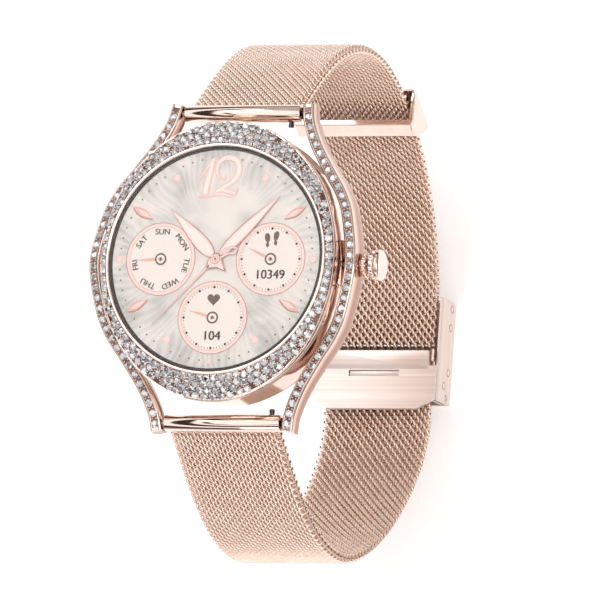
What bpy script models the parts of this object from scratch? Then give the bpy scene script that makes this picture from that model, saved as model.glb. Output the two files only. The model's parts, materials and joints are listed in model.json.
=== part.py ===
"""A round smartwatch with stone-set lug frames, a mesh strap, a keeper loop and a folding clasp.

Metres, +Z up. The dial faces +Z, 12 o'clock is at +Y and the crown at +X. The origin is on the dial's
axis, at the flat outer face of the clasp. Sizes below are in millimetres, and MM turns them into metres.
A depth is measured down from the top of the display glass.
"""
import math

import bmesh
import bpy
from mathutils import Matrix, Vector
from mathutils.geometry import interpolate_bezier

MM = 0.001
FIT = 0.3

# Case
GLASS_TOP = 73.8
GLASS_R = 17.0
CASE_HOLLOW_R = 16.3
BEZEL_HALF = (18.4, 21.0)
CASE_HALF = (18.2, 20.7)
COVER_HALF = (17.8, 20.2)
CASE_TOP, CASE_BOTTOM = 3.3, 9.5
COVER_TOP, COVER_BOTTOM = 9.8, 11.1
SCREW_AT = (4.8, 17.75)
CONTACT_AT = (1.6, -10.2)

# Lugs and strap bars
LUG_OUTLINE = [(21.2, 0), (20.0, 7.1), (18.4, 11.0), (16.0, 14.5), (13.4, 18.5), (11.8, 22.0), (11.3, 24.6)]
LUG_WIDTH = 1.9
LUG_TOP_DEPTH = (2.7, 7.0)
LUG_BOTTOM_DEPTH = (7.2, 9.8)
BAR_Y, BAR_DEPTH = 23.15, 8.0
TUBE_R, TUBE_BORE_R, TUBE_HALF = 1.3, 0.85, 9.1
KNOB_X = 7.5

# Crown
CROWN_DEPTH = 5.6

# Strap and clasp
STRAP_HALF_WIDTH = 8.5
STRAP_THICK = 1.7
STRAP_SIDE_Y, STRAP_SIDE_Z = 38.0, 36.8
STRAP_REST_Z = 4.3
KEEPER_STATION, KEEPER_LENGTH = 18, 8.0
CLASP_HALF_WIDTH = 9.8
CLASP_Y = (-8.85, 6.8)
CLASP_WALL_TOP = 5.75
FLAP_Y, FLAP_Z = (-10.5, -3.7), (6.15, 6.85)
FLAP_HALF_WIDTH = 9.75
COVER_PIN = (-8.0, 2.2)
FLAP_PIN = (-2.2, 6.0)

CASE_STEPS = 64
ROUND_STEPS = 32
SMALL_STEPS = 16

COLOURS = {
    "polished_rose_gold": ((0.807, 0.485, 0.376), 0.12, 1.0),
    "rose_gold_mesh": ((0.716, 0.445, 0.352), 0.32, 1.0),
    "brushed_pale_gold": ((0.910, 0.760, 0.700), 0.35, 1.0),
    "clear_glass": ((0.90, 0.88, 0.86), 0.03, 0.0),
    "display_cream": ((0.80, 0.74, 0.68), 0.30, 0.0),
    "black_rubber": ((0.02, 0.02, 0.02), 0.70, 0.0),
    "black_plastic": ((0.03, 0.03, 0.03), 0.45, 0.0),
    "steel": ((0.60, 0.60, 0.61), 0.25, 1.0),
    "spring_steel": ((0.50, 0.50, 0.52), 0.30, 1.0),
    "gold_contact": ((0.85, 0.62, 0.25), 0.20, 1.0),
    "green_board": ((0.02, 0.12, 0.05), 0.50, 0.0),
    "battery_foil": ((0.35, 0.36, 0.38), 0.40, 0.6),
}


def z_at(depth):
    return GLASS_TOP - depth


def new_collection(name):
    collection = bpy.data.collections.new(name)
    bpy.context.scene.collection.children.link(collection)
    return collection


def make_material(name):
    colour, roughness, metallic = COLOURS[name]
    found = bpy.data.materials.new(name)
    found.use_nodes = True
    shader = found.node_tree.nodes["Principled BSDF"]
    shader.inputs["Base Color"].default_value = (*colour, 1)
    shader.inputs["Roughness"].default_value = roughness
    shader.inputs["Metallic"].default_value = metallic
    found.diffuse_color = (*colour, 1)
    return found


for old in list(bpy.data.objects):
    bpy.data.objects.remove(old, do_unlink=True)
PARTS = new_collection("smartwatch")
CUTTERS = new_collection("cutters")
MATERIALS = {name: make_material(name) for name in COLOURS}


# Helpers: each makes one closed object with its origin where `at` says.

AXES = {"X": Matrix.Rotation(math.pi / 2, 4, "Y"), "Y": Matrix.Rotation(-math.pi / 2, 4, "X"), "Z": Matrix()}


def finish(name, bm, material, at=(0, 0, 0), turn=Matrix()):
    """An object from a bmesh in metres, with clean outward normals and smooth round sides."""
    bmesh.ops.remove_doubles(bm, verts=bm.verts, dist=1e-6)
    bmesh.ops.recalc_face_normals(bm, faces=bm.faces)
    mesh = bpy.data.meshes.new(name)
    bm.to_mesh(mesh)
    bm.free()
    mesh.materials.append(MATERIALS[material])
    mesh.shade_smooth()
    mesh.set_sharp_from_angle(angle=math.radians(35))
    part = bpy.data.objects.new(name, mesh)
    part.matrix_world = Matrix.Translation(Vector(at) * MM) @ turn
    PARTS.objects.link(part)
    return part


def evaluated(guide):
    """The bmesh that a guide object's modifiers or curve make. The guide is then removed."""
    bpy.context.view_layer.update()
    found = guide.evaluated_get(bpy.context.evaluated_depsgraph_get())
    mesh = bpy.data.meshes.new_from_object(found)
    bm = bmesh.new()
    bm.from_mesh(mesh)
    bpy.data.objects.remove(guide, do_unlink=True)
    return bm


def turned(name, material, outline, at=(0, 0, 0), axis="Z", steps=ROUND_STEPS):
    """Turns an outline of (radius, height along the axis) about the axis through `at`."""
    on_axis = outline[0][0] == 0
    edges = [(i, i + 1) for i in range(len(outline) - 1)]
    mesh = bpy.data.meshes.new(name)
    closing = [] if on_axis else [(len(outline) - 1, 0)]
    mesh.from_pydata([(r * MM, 0, h * MM) for r, h in outline], edges + closing, [])
    guide = bpy.data.objects.new(name + "_outline", mesh)
    CUTTERS.objects.link(guide)
    screw = guide.modifiers.new("turn", "SCREW")
    screw.steps = screw.render_steps = steps
    screw.use_merge_vertices = True
    screw.merge_threshold = 1e-6
    return finish(name, evaluated(guide), material, at, AXES[axis])


def ring(name, material, inner, outer, low, high, at=(0, 0, 0), axis="Z", steps=ROUND_STEPS):
    outline = [(inner, low), (outer, low), (outer, high), (inner, high)]
    return turned(name, material, outline, at, axis, steps)


def rod(name, material, radius, low, high, at=(0, 0, 0), axis="X", steps=SMALL_STEPS):
    """A plain round bar from low to high along the axis."""
    bm = bmesh.new()
    bmesh.ops.create_cone(
        bm, cap_ends=True, segments=steps, radius1=radius * MM, radius2=radius * MM, depth=(high - low) * MM
    )
    bmesh.ops.translate(bm, verts=bm.verts, vec=(0, 0, (high + low) / 2 * MM))
    return finish(name, bm, material, at, AXES[axis])


def box(name, material, size, at, rounding=0.0, centre=(0, 0, 0), steps=2, turn=Matrix()):
    """A box with rounded edges. `centre` is the box's middle, counted from its origin at `at`."""
    bm = bmesh.new()
    bmesh.ops.create_cube(bm, size=1)
    bmesh.ops.scale(bm, verts=bm.verts, vec=Vector(size) * MM)
    if rounding:
        width = rounding * MM
        bmesh.ops.bevel(bm, geom=bm.edges[:], offset=width, segments=steps, profile=0.5, affect="EDGES")
    bmesh.ops.translate(bm, verts=bm.verts, vec=Vector(centre) * MM)
    return finish(name, bm, material, at, turn)


def loft(name, material, sections, at=(0, 0, 0), closed=False):
    """Skins a row of equal loops of points, given in millimetres from the world's origin."""
    bm = bmesh.new()
    loops = [[bm.verts.new((Vector(p) - Vector(at)) * MM) for p in loop] for loop in sections]
    pairs = list(zip(loops, loops[1:]))
    if closed:
        pairs.append((loops[-1], loops[0]))
    for one, two in pairs:
        for i in range(len(one)):
            j = (i + 1) % len(one)
            bm.faces.new((one[i], one[j], two[j], two[i]))
    if not closed:
        bm.faces.new(loops[0][::-1])
        bm.faces.new(loops[-1])
    return finish(name, bm, material, at)


def coil(name, radius, wire, low, high, turns, at, axis="X"):
    """A coil spring from low to high along the axis."""
    per_turn = 10
    count = int(turns * per_turn) + 1
    curve = bpy.data.curves.new(name, "CURVE")
    curve.dimensions = "3D"
    curve.bevel_depth = wire * MM
    curve.bevel_resolution = 1
    curve.use_fill_caps = True
    spline = curve.splines.new("POLY")
    spline.points.add(count - 1)
    for i, point in enumerate(spline.points):
        angle = 2 * math.pi * i / per_turn
        height = low + (high - low) * i / (count - 1)
        point.co = (radius * math.cos(angle) * MM, radius * math.sin(angle) * MM, height * MM, 1)
    guide = bpy.data.objects.new(name + "_line", curve)
    CUTTERS.objects.link(guide)
    return finish(name, evaluated(guide), "spring_steel", at, AXES[axis])


def combine(part, others, operation):
    """Joins the others to the part, or cuts them from it, and hides them as cutters."""
    for other in others:
        PARTS.objects.unlink(other)
        CUTTERS.objects.link(other)
        other.hide_render = True
        other.display_type = "WIRE"
        boolean = part.modifiers.new(other.name, "BOOLEAN")
        boolean.operation = operation
        boolean.solver = "EXACT"
        boolean.object = other
    return part


def cut(part, *others):
    return combine(part, others, "DIFFERENCE")


def join(part, *others):
    return combine(part, others, "UNION")


def ellipse(half_x, half_y, depth, count=CASE_STEPS):
    """A loop of points on an ellipse, at a depth below the glass."""
    turn = 2 * math.pi / count
    return [(half_x * math.cos(i * turn), half_y * math.sin(i * turn), z_at(depth)) for i in range(count)]


# Case

def make_display():
    top = (0, 0, GLASS_TOP)
    glass = [(0, 0), (GLASS_R - 0.25, 0), (GLASS_R, -0.25), (GLASS_R, -1.0), (0, -1.0)]
    turned("display_glass", "clear_glass", glass, top, steps=CASE_STEPS)
    turned("display_panel", "display_cream", [(0, -1.3), (15.9, -1.3), (15.9, -2.2), (0, -2.2)], top)
    ring("display_gasket", "black_rubber", 16.2, GLASS_R, -2.2, -1.3, top, steps=48)
    tray = [(0, -2.5), (17.0, -2.5), (17.0, -3.0), (16.0, -3.0)]
    tray += [(16.0, -4.1), (15.6, -4.1), (15.6, -3.0), (0, -3.0)]
    chassis = turned("inner_chassis", "steel", tray, top, steps=48)
    cut(chassis, box("ribbon_slot", "steel", (6.0, 1.2, 3.0), (0, 11.5, z_at(2.7))))


def make_bezel():
    rings = [(17.3, 17.3, 3.0), (17.3, 17.3, 0.3), (17.42, 17.42, 0.12), (17.6, 17.6, 0.12)]
    slope = [(BEZEL_HALF[0] - 0.2, BEZEL_HALF[1] - 0.25, 1.7), (*BEZEL_HALF, 2.1), (18.2, 20.75, 3.0)]
    loft("bezel_ring", "polished_rose_gold", [ellipse(*r) for r in rings + slope], closed=True)


def make_case_middle():
    half_x, half_y = CASE_HALF
    rings = [
        (CASE_HOLLOW_R, CASE_HOLLOW_R, CASE_BOTTOM),
        (CASE_HOLLOW_R, CASE_HOLLOW_R, CASE_TOP),
        (half_x - 0.3, half_y - 0.3, CASE_TOP),
        (half_x, half_y, CASE_TOP + 0.5),
        (half_x, half_y, CASE_BOTTOM - 0.9),
        (half_x - 0.4, half_y - 0.45, CASE_BOTTOM),
    ]
    case = loft("case_middle", "polished_rose_gold", [ellipse(*r) for r in rings], closed=True)
    middle = z_at(CROWN_DEPTH)
    for side, name in ((-1, "left"), (1, "right")):
        join(case, box(f"lug_pad_{name}", "steel", (1.6, 7.0, 2.9), (side * 17.85, 0, middle), 0.2, steps=1))
    cut(case, rod("crown_bore", "steel", 1.5, 15, 20, (0, 0, middle), steps=24))
    groove_at = (0, 0, z_at(CASE_BOTTOM) - 0.35)
    cut(case, ring("gasket_groove", "steel", 16.7, 17.4, -0.65, 1.0, groove_at, steps=48))
    for i, (x, y) in enumerate(screw_places()):
        cut(case, rod(f"screw_bore_{i}", "steel", 0.6, -1, 3.4, (x, y, z_at(CASE_BOTTOM)), "Z"))


def screw_places():
    return [(sx * SCREW_AT[0], sy * SCREW_AT[1]) for sx in (-1, 1) for sy in (-1, 1)]


def make_back():
    half_x, half_y = COVER_HALF
    rings = [
        (half_x - 0.2, half_y - 0.2, COVER_TOP),
        (half_x, half_y, COVER_TOP + 0.3),
        (half_x - 0.2, half_y - 0.2, COVER_BOTTOM - 0.4),
        (half_x - 0.9, half_y - 0.9, COVER_BOTTOM),
    ]
    cover = loft("back_cover", "steel", [ellipse(*r) for r in rings])
    base = z_at(COVER_BOTTOM)
    cut(cover, rod("window_bore", "steel", 6.8, -1, 3, (0, 0, base), "Z", 48))
    for i, (x, y) in enumerate(screw_places()):
        cut(cover, rod(f"screw_hole_{i}", "steel", 0.6, -1, 3, (x, y, base), "Z"))
        cut(cover, rod(f"screw_head_hole_{i}", "steel", 1.15, -1, 0.6, (x, y, base), "Z"))
        head = [(0, 0.05), (0.95, 0.05), (0.95, 0.5), (0.42, 0.5), (0.42, 3.8), (0, 3.8)]
        screw = turned(f"back_screw_{i + 1}", "steel", head, (x, y, base), steps=SMALL_STEPS)
        cut(screw, box(f"screw_slot_{i}", "steel", (1.4, 0.3, 0.5), (x, y, base)))
    for i, side in enumerate((-1, 1)):
        at = (side * CONTACT_AT[0], CONTACT_AT[1], base)
        cut(cover, rod(f"contact_hole_{i}", "steel", 0.95, -1, 3, at, "Z"))
        pad = [(0, -0.05), (0.75, -0.05), (0.75, 1.6), (1.2, 1.6), (1.2, 1.9), (0, 1.9)]
        turned(f"charging_contact_{i + 1}", "gold_contact", pad, at, steps=SMALL_STEPS)
    for i, x in enumerate((-5.2, -3.5, -1.8)):
        cut(cover, rod(f"speaker_port_{i}", "steel", 0.45, -1, 3, (x, -12.2, base), "Z", 12))
    cut(cover, rod("microphone_port", "steel", 0.35, -1, 3, (8.6, -11.4, base), "Z", 12))
    ring("back_gasket", "black_rubber", 16.85, 17.25, 0, 0.55, (0, 0, z_at(9.65)), steps=48)
    dome = [(0, -0.65), (3.0, -0.6), (5.4, -0.38), (6.5, -0.05), (6.5, 1.1), (0, 1.1)]
    turned("sensor_window", "black_plastic", dome, (0, 0, base), steps=48)


def make_lug_outline():
    """(outer x, y) along half a lug frame, smoothed through the outline's points."""
    points = [Vector(p) for p in LUG_OUTLINE]
    points.insert(0, Vector((LUG_OUTLINE[1][0], -LUG_OUTLINE[1][1])))
    points.append(2 * points[-1] - points[-2])
    found = []
    for a, b, c, d in zip(points, points[1:], points[2:], points[3:]):
        found += interpolate_bezier(b, b + (c - a) / 6, c - (d - b) / 6, c, 4)[:-1]
    return [p.to_2d() for p in found] + [points[-2]]


def make_lug_frame(name, side):
    """A bow from lug to lug. It is drawn on the +X side, and `side` mirrors it."""
    line = make_lug_outline()
    half = []
    for i, point in enumerate(line):
        along = (line[min(i + 1, len(line) - 1)] - line[max(i - 1, 0)]).normalized()
        if i == 0:
            along = Vector((0, 1))
        inward = Vector((-along.y, along.x))
        share = (point.y / LUG_OUTLINE[-1][1]) ** 1.4
        top = z_at(LUG_TOP_DEPTH[0] + (LUG_TOP_DEPTH[1] - LUG_TOP_DEPTH[0]) * share)
        bottom = z_at(LUG_BOTTOM_DEPTH[0] + (LUG_BOTTOM_DEPTH[1] - LUG_BOTTOM_DEPTH[0]) * share)
        corners = [(0, top - 0.8), (0.3, top), (LUG_WIDTH - 0.2, top), (LUG_WIDTH, top - 0.3)]
        corners += [(LUG_WIDTH, bottom + 0.4), (LUG_WIDTH - 0.4, bottom), (0.5, bottom), (0, bottom + 0.6)]
        half.append([(*(point + inward * across), z) for across, z in corners])
    mirrored = [[(x, -y, z) for x, y, z in loop] for loop in half[:0:-1]]
    sections = [[(side * x, y, z) for x, y, z in loop] for loop in mirrored + half]
    frame = loft(name, "polished_rose_gold", sections)
    for end in (-1, 1):
        at = (0, end * BAR_Y, z_at(BAR_DEPTH))
        low, high = sorted((side * 8.5, side * 10.6))
        cut(frame, rod(f"{name}_bar_hole_{end}", "steel", 0.55, low, high, at))
    if side > 0:
        cut(frame, rod("crown_passage", "steel", 1.5, 18, 23, (0, 0, z_at(CROWN_DEPTH)), steps=24))


# Inside the case

def make_electronics():
    top = (0, 0, GLASS_TOP)
    board = turned("main_board", "green_board", [(0, -3.4), (15.2, -3.4), (15.2, -4.0), (0, -4.0)], top)
    chips = [(-2, 3, 7, 7), (6, -7, 4, 5), (-9, -5, 5, 4), (5, 8, 4, 3)]
    for i, (x, y, wide, long) in enumerate(chips):
        join(board, box(f"chip_{i}", "black_plastic", (wide, long, 1.0), (x, y, z_at(4.4))))
    box("battery", "battery_foil", (20.0, 17.0, 3.3), (-2.3, 0, z_at(6.85)), 0.5)
    box("speaker", "black_plastic", (8.0, 4.4, 2.6), (-3.5, -11.9, z_at(7.2)), 0.3, steps=1)
    box("microphone", "steel", (3.0, 2.0, 1.0), (8.6, -11.4, z_at(8.6)))
    optics = turned("sensor_board", "green_board", [(0, -8.8), (6.2, -8.8), (6.2, -9.3), (0, -9.3)], top)
    for i, (x, y) in enumerate(((0, 0), (-3, 0), (3, 0), (0, 3), (0, -3))):
        join(optics, box(f"led_{i}", "steel", (1.6, 1.2, 0.6), (x, y, z_at(9.4))))


def make_motor():
    at = (-7.0, 12.3, z_at(6.9))
    can = [(0, 0), (1.9, 0), (1.9, 5.5), (0.6, 5.5), (0.6, 2.2), (0, 2.2)]
    turned("motor_housing", "steel", can, at, "X", SMALL_STEPS)
    rotor = rod("motor_rotor", "steel", 0.45, 2.5, 8.6, at, steps=12)
    weight = rod("rotor_weight", "steel", 1.7, 6.0, 8.3, at)
    cut(weight, box("weight_side", "steel", (6.0, 4.0, 2.0), (at[0] + 7, at[1], at[2] + 1.1)))
    join(rotor, weight)


def make_crown():
    at = (0, 0, z_at(CROWN_DEPTH))
    sleeve = [(0.95, 16.0), (1.25, 16.0), (1.25, 21.5), (1.95, 21.5), (1.95, 22.1), (0.95, 22.1)]
    turned("crown_sleeve", "polished_rose_gold", sleeve, at, "X", 24)
    knob = [(0, 14.4), (0.55, 14.4), (0.55, 23.75), (1.45, 23.75), (1.45, 22.65), (2.0, 22.65), (2.15, 22.8)]
    knob += [(2.15, 24.0), (2.3, 24.1), (2.3, 24.4), (1.95, 24.8), (1.2, 25.05), (0, 25.15)]
    turned("crown_knob", "polished_rose_gold", knob, at, "X", 24)
    ring("crown_encoder_wheel", "black_plastic", 0.6, 1.2, 15.1, 15.8, at, "X", SMALL_STEPS)
    ring("crown_washer", "steel", 0.65, 1.1, 14.65, 14.95, at, "X", SMALL_STEPS)
    angles = [i * math.pi / 3 for i in range(6)]
    o_ring = [(0.75 + 0.14 * math.cos(a), 19 + 0.14 * math.sin(a)) for a in angles]
    turned("crown_o_ring", "black_rubber", o_ring, at, "X", SMALL_STEPS)
    coil("crown_spring", 1.0, 0.12, 22.4, 23.5, 2.5, at)
    body = box("switch_body", "black_plastic", (2.4, 4.0, 2.6), at, 0.2, (11.7, 0, 0), 1)
    cut(body, rod("plunger_bore", "steel", 0.6, 11.3, 14, at))
    rod("switch_plunger", "steel", 0.5, 12.0, 14.2, at)


# Strap

def curve_points(a, b, c, d, count):
    """(y, z) along a Bezier curve."""
    return [p.to_2d() for p in interpolate_bezier(Vector(a), Vector(b), Vector(c), Vector(d), count)]


def strap_line(side):
    """(y, z) down the middle of one strap half, from its lug bar to its end in the clasp."""
    out = Vector((side * 0.64, -0.77))
    bar = Vector((side * BAR_Y, z_at(BAR_DEPTH)))
    start = bar + out * (TUBE_R + 0.2 + FIT / 2)
    side_point = Vector((side * STRAP_SIDE_Y, STRAP_SIDE_Z))
    front = curve_points(start, start + out * 10.5, side_point + Vector((0, 12)), side_point, 13)
    handle = 15.5 if side > 0 else 14.0
    flat_y, flat_handle, end_y = (6.0, 14.0, 0.4) if side > 0 else (-12.0, 10.0, -3.2)
    flat = Vector((flat_y, STRAP_REST_Z))
    below = side_point - Vector((0, handle))
    rear = curve_points(side_point, below, flat + Vector((side * flat_handle, 0)), flat, 17)
    return front[:-1] + rear + [Vector((end_y, STRAP_REST_Z))]


def strap_frame(line, i):
    """The point, the direction along the strap and its outward normal at one station of a strap line."""
    along = (line[min(i + 1, len(line) - 1)] - line[max(i - 1, 0)]).normalized()
    outward = Vector((along.y, -along.x)) if line[0].x < 0 else Vector((-along.y, along.x))
    return line[i], along, outward


def make_strap(name, side):
    line = strap_line(side)
    sections = []
    for i in range(len(line)):
        point, _, outward = strap_frame(line, i)
        edge = outward * STRAP_THICK / 2
        near, far = point + edge, point - edge
        w = STRAP_HALF_WIDTH
        sections.append([(-w, *near), (w, *near), (w, *far), (-w, *far)])
    loft(f"strap_mesh_{name}", "rose_gold_mesh", sections, bar_place(side))


def bar_place(side):
    return (0, side * BAR_Y, z_at(BAR_DEPTH))


def make_strap_bar(name, side):
    """The strap's end tube, with its quick-release spring bar inside."""
    at = bar_place(side)
    sizes = (TUBE_BORE_R, TUBE_R, -TUBE_HALF, TUBE_HALF)
    tube = ring(f"strap_tube_{name}", "polished_rose_gold", *sizes, at, "X", 24)
    slot = box(f"knob_slot_{name}", "steel", (2.6, 2.0, 1.1), at, centre=(KNOB_X - 0.6, -side * 1.5, 0))
    cut(tube, slot)
    barrel = [(0, -10.3), (0.42, -10.3), (0.42, -8.9), (0.68, -8.9), (0.68, 3.0), (0, 3.0)]
    turned(f"spring_bar_{name}", "steel", barrel, at, "X", SMALL_STEPS)
    pin = [(0, 5.0), (0.68, 5.0), (0.68, 8.5), (0.42, 8.5), (0.42, 10.3), (0, 10.3)]
    release = turned(f"release_pin_{name}", "steel", pin, at, "X", SMALL_STEPS)
    low, high = sorted((0, -side * 2.1))
    knob_at = (KNOB_X, at[1], at[2])
    knob = rod(f"release_knob_{name}", "steel", 0.42, low, high, knob_at, "Y", 12)
    join(release, knob)
    coil(f"bar_spring_{name}", 0.5, 0.11, 3.3, 4.7, 4, at)


def make_end_bar():
    """The bar across the end of the long strap half, which the clasp's hook holds."""
    size = (2 * STRAP_HALF_WIDTH + 0.4, 1.1, STRAP_THICK)
    y, z = -0.45 - FIT / 2, STRAP_REST_Z
    here = bar_place(1)
    box("strap_end_bar", "polished_rose_gold", size, here, 0.35, (0, y - here[1], z - here[2]))


def make_keeper():
    """A loop across the strap: a broad plate on its outer side, and sides that taper to an inner bar."""
    point, along, _ = strap_frame(strap_line(1), KEEPER_STATION)
    turn = Matrix.Rotation(math.atan2(along.y, along.x), 4, "X")
    here = (0, *point)
    half, wall = STRAP_HALF_WIDTH + 0.4, 0.7
    room_out, room_in = STRAP_THICK / 2 + 0.6, STRAP_THICK / 2 + 1.5
    middle = (0, 0, (room_out - room_in) / 2)
    outer_size = (2 * (half + wall), KEEPER_LENGTH, room_out + room_in + 2 * wall)
    loop = box("keeper_loop", "polished_rose_gold", outer_size, here, 0.4, middle, 1, turn)
    hole = box("keeper_hole", "steel", (2 * half, 12.0, room_out + room_in), here, centre=middle, turn=turn)
    cut(loop, hole)
    for side in (-1, 1):
        taper = turn @ Matrix.Rotation(-side * math.radians(33), 4, "X")
        centre = (0, side * (KEEPER_LENGTH / 3 + 3), 0)
        cut(loop, box(f"keeper_taper_{side}", "steel", (24, 6, 14), here, centre=centre, turn=taper))


# Clasp

def make_clasp_frame():
    """A low tray clamped on the short strap half: a base, two side walls and holes for both pins."""
    y_low, y_high = -7.2, -1.7
    pin = (0, *COVER_PIN)
    middle, length = (y_low + y_high) / 2, y_high - y_low
    base_size, base_middle = (18.0, length, 0.6), (0, middle - pin[1], 2.3 - pin[2])
    frame = box("clasp_frame", "polished_rose_gold", base_size, pin, 0, base_middle)
    height = CLASP_WALL_TOP - 1.6
    for side, name in ((-1, "left"), (1, "right")):
        wall_at = (side * 8.98, -5.2, 1.6 + height / 2)
        join(frame, box(f"frame_wall_{name}", "steel", (0.4, 7.4, height), wall_at))
        ear_at = (side * 8.98, FLAP_PIN[0], 5.8)
        join(frame, box(f"frame_ear_{name}", "steel", (0.36, 1.9, 1.9), ear_at, 0.1, steps=1))
    cut(frame, rod("cover_pin_hole", "steel", 0.5, -10, 10, pin))
    cut(frame, rod("flap_pin_hole", "steel", 0.4, -10, 10, (0, *FLAP_PIN)))


def make_clasp_flap():
    """The locking flap: a slotted plate over the channel's walls, hinged at its +Y end."""
    pin = (0, *FLAP_PIN)
    (y_low, y_high), (z_low, z_high) = FLAP_Y, FLAP_Z
    size = (2 * FLAP_HALF_WIDTH, y_high - y_low, z_high - z_low)
    middle = (0, (y_low + y_high) / 2 - pin[1], (z_low + z_high) / 2 - pin[2])
    plate = box("clasp_flap", "brushed_pale_gold", size, pin, 0.15, middle, 1)
    join(plate, box("flap_tongue", "steel", (17.0, 2.1, 0.9), (0, -3.25, 6.1)))
    join(plate, rod("flap_knuckle", "steel", 0.7, -8.6, 8.6, pin))
    cut(plate, box("flap_slot", "steel", (8.0, 0.9, 3.0), (-0.15, -5.0, 6.4)))
    for side in (-1, 1):
        slant = Matrix.Rotation(0.538 * side, 4, "Z")
        corner_at = (side * 9.35, -11.37, 6.4)
        cut(plate, box(f"flap_corner_{side}", "steel", (6.0, 4.0, 3.0), corner_at, turn=slant))
    cut(plate, rod("flap_bore", "steel", 0.4, -10, 10, pin))
    rod("clasp_flap_pin", "steel", 0.3, -9.15, 9.15, pin)


def make_clasp_cover():
    """The outer cover: a channel with a flat face, hinged at its -Y end, and its pin."""
    pin = (0, *COVER_PIN)
    y_low, y_high = CLASP_Y
    size = (2 * CLASP_HALF_WIDTH, y_high - y_low, CLASP_WALL_TOP)
    middle = (0, (y_low + y_high) / 2 - pin[1], CLASP_WALL_TOP / 2 - pin[2])
    cover = box("clasp_cover", "brushed_pale_gold", size, pin, 0.2, middle, 1)
    cut(cover, box("cover_channel", "steel", (2 * (CLASP_HALF_WIDTH - 0.45), 30, 10), (0, 0, 5.8)))
    cut(cover, rod("cover_bore", "steel", 0.5, -11, 11, pin))
    rod("clasp_cover_pin", "steel", 0.4, -9.75, 9.75, pin)


def make_watch():
    make_display()
    make_bezel()
    make_case_middle()
    make_back()
    make_lug_frame("lug_frame_left", -1)
    make_lug_frame("lug_frame_right", 1)
    make_electronics()
    make_motor()
    make_crown()
    for name, side in (("top", 1), ("bottom", -1)):
        make_strap(name, side)
        make_strap_bar(name, side)
    make_end_bar()
    make_keeper()
    make_clasp_frame()
    make_clasp_flap()
    make_clasp_cover()


make_watch()
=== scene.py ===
"""The looks of a round rose gold smartwatch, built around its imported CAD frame.

Metres, +Z up, in the frame's own axes: the dial faces +Z, 12 o'clock is at +Y and the crown at +X.
Sizes below are in millimetres, and MM turns them into metres.
"""

import json
import math
import random

import bmesh
import bpy
import numpy as np
from mathutils import Matrix, Vector
from mathutils.geometry import interpolate_bezier

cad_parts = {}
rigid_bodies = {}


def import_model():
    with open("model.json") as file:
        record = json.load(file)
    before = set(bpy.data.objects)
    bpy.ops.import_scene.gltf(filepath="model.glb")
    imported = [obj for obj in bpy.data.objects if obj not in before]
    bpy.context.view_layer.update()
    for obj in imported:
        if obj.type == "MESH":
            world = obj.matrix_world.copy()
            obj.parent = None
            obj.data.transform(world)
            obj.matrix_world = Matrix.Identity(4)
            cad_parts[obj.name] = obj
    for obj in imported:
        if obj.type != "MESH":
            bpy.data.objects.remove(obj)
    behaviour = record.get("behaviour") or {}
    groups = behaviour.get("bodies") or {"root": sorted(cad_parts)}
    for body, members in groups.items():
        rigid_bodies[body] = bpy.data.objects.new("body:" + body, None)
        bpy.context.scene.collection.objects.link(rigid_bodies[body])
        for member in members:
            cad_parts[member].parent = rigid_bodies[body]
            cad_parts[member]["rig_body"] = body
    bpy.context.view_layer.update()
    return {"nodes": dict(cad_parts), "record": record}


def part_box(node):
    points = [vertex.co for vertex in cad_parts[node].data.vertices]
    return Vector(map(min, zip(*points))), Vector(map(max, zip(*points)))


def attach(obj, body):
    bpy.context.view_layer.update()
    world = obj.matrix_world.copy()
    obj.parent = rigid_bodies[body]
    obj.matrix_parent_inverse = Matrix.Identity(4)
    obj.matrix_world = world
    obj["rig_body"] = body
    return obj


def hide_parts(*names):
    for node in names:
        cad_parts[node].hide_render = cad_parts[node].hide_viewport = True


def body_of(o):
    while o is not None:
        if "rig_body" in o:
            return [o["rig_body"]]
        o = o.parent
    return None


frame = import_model()
MM = 0.001


def span(node, axis):
    """A node's lowest and highest place along an axis, in millimetres."""
    low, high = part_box(node)
    return low[axis] / MM, high[axis] / MM


# Sizes read from the frame
GLASS_TOP = span("display_glass", 2)[1]
GLASS_R = span("display_glass", 0)[1]
BEZEL_HALF = (span("bezel_ring", 0)[1], span("bezel_ring", 1)[1])
BEZEL_TOP, BEZEL_BOTTOM = span("bezel_ring", 2)[1], span("bezel_ring", 2)[0]
LUG_END_Y = span("lug_frame_right", 1)[1]
TUBE_HALF = span("strap_tube_top", 0)[1]
TUBE_R = (span("strap_tube_top", 1)[1] - span("strap_tube_top", 1)[0]) / 2
BAR_Y = sum(span("strap_tube_top", 1)) / 2
BAR_Z = sum(span("strap_tube_top", 2)) / 2
STRAP_HALF_WIDTH = span("strap_mesh_top", 0)[1]
STRAP_REST_Z = sum(span("strap_end_bar", 2)) / 2
STRAP_SIDE_Y = span("strap_mesh_top", 1)[1] - 0.85
CROWN_Z = sum(span("crown_knob", 2)) / 2
CROWN_TIP_X = span("crown_knob", 0)[1]

# Sizes of the looks
STRAP_SIDE_Z = 36.8
LUG_OUTLINE = [(21.2, 0), (20.0, 7.1), (18.4, 11.0), (16.0, 14.5), (13.4, 18.5), (11.8, 22.0), (11.3, LUG_END_Y)]
LUG_WIDTH = 1.9
STONE, SIDE_STONE = 1.10, 1.26
WIRE_R = 0.215
COIL_PITCH, COIL_ROW = 1.10, 0.67
DIAL_R, GLASS_EDGE_R = 16.7, 16.76
RING_R = (16.8, 17.28)
DIAL_Z = GLASS_TOP - 0.55
PRINT = 0.02


# Materials

def new_material(name):
    material = bpy.data.materials.new(name)
    material.use_nodes = True
    tree = material.node_tree
    return material, tree, tree.nodes["Principled BSDF"]


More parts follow.
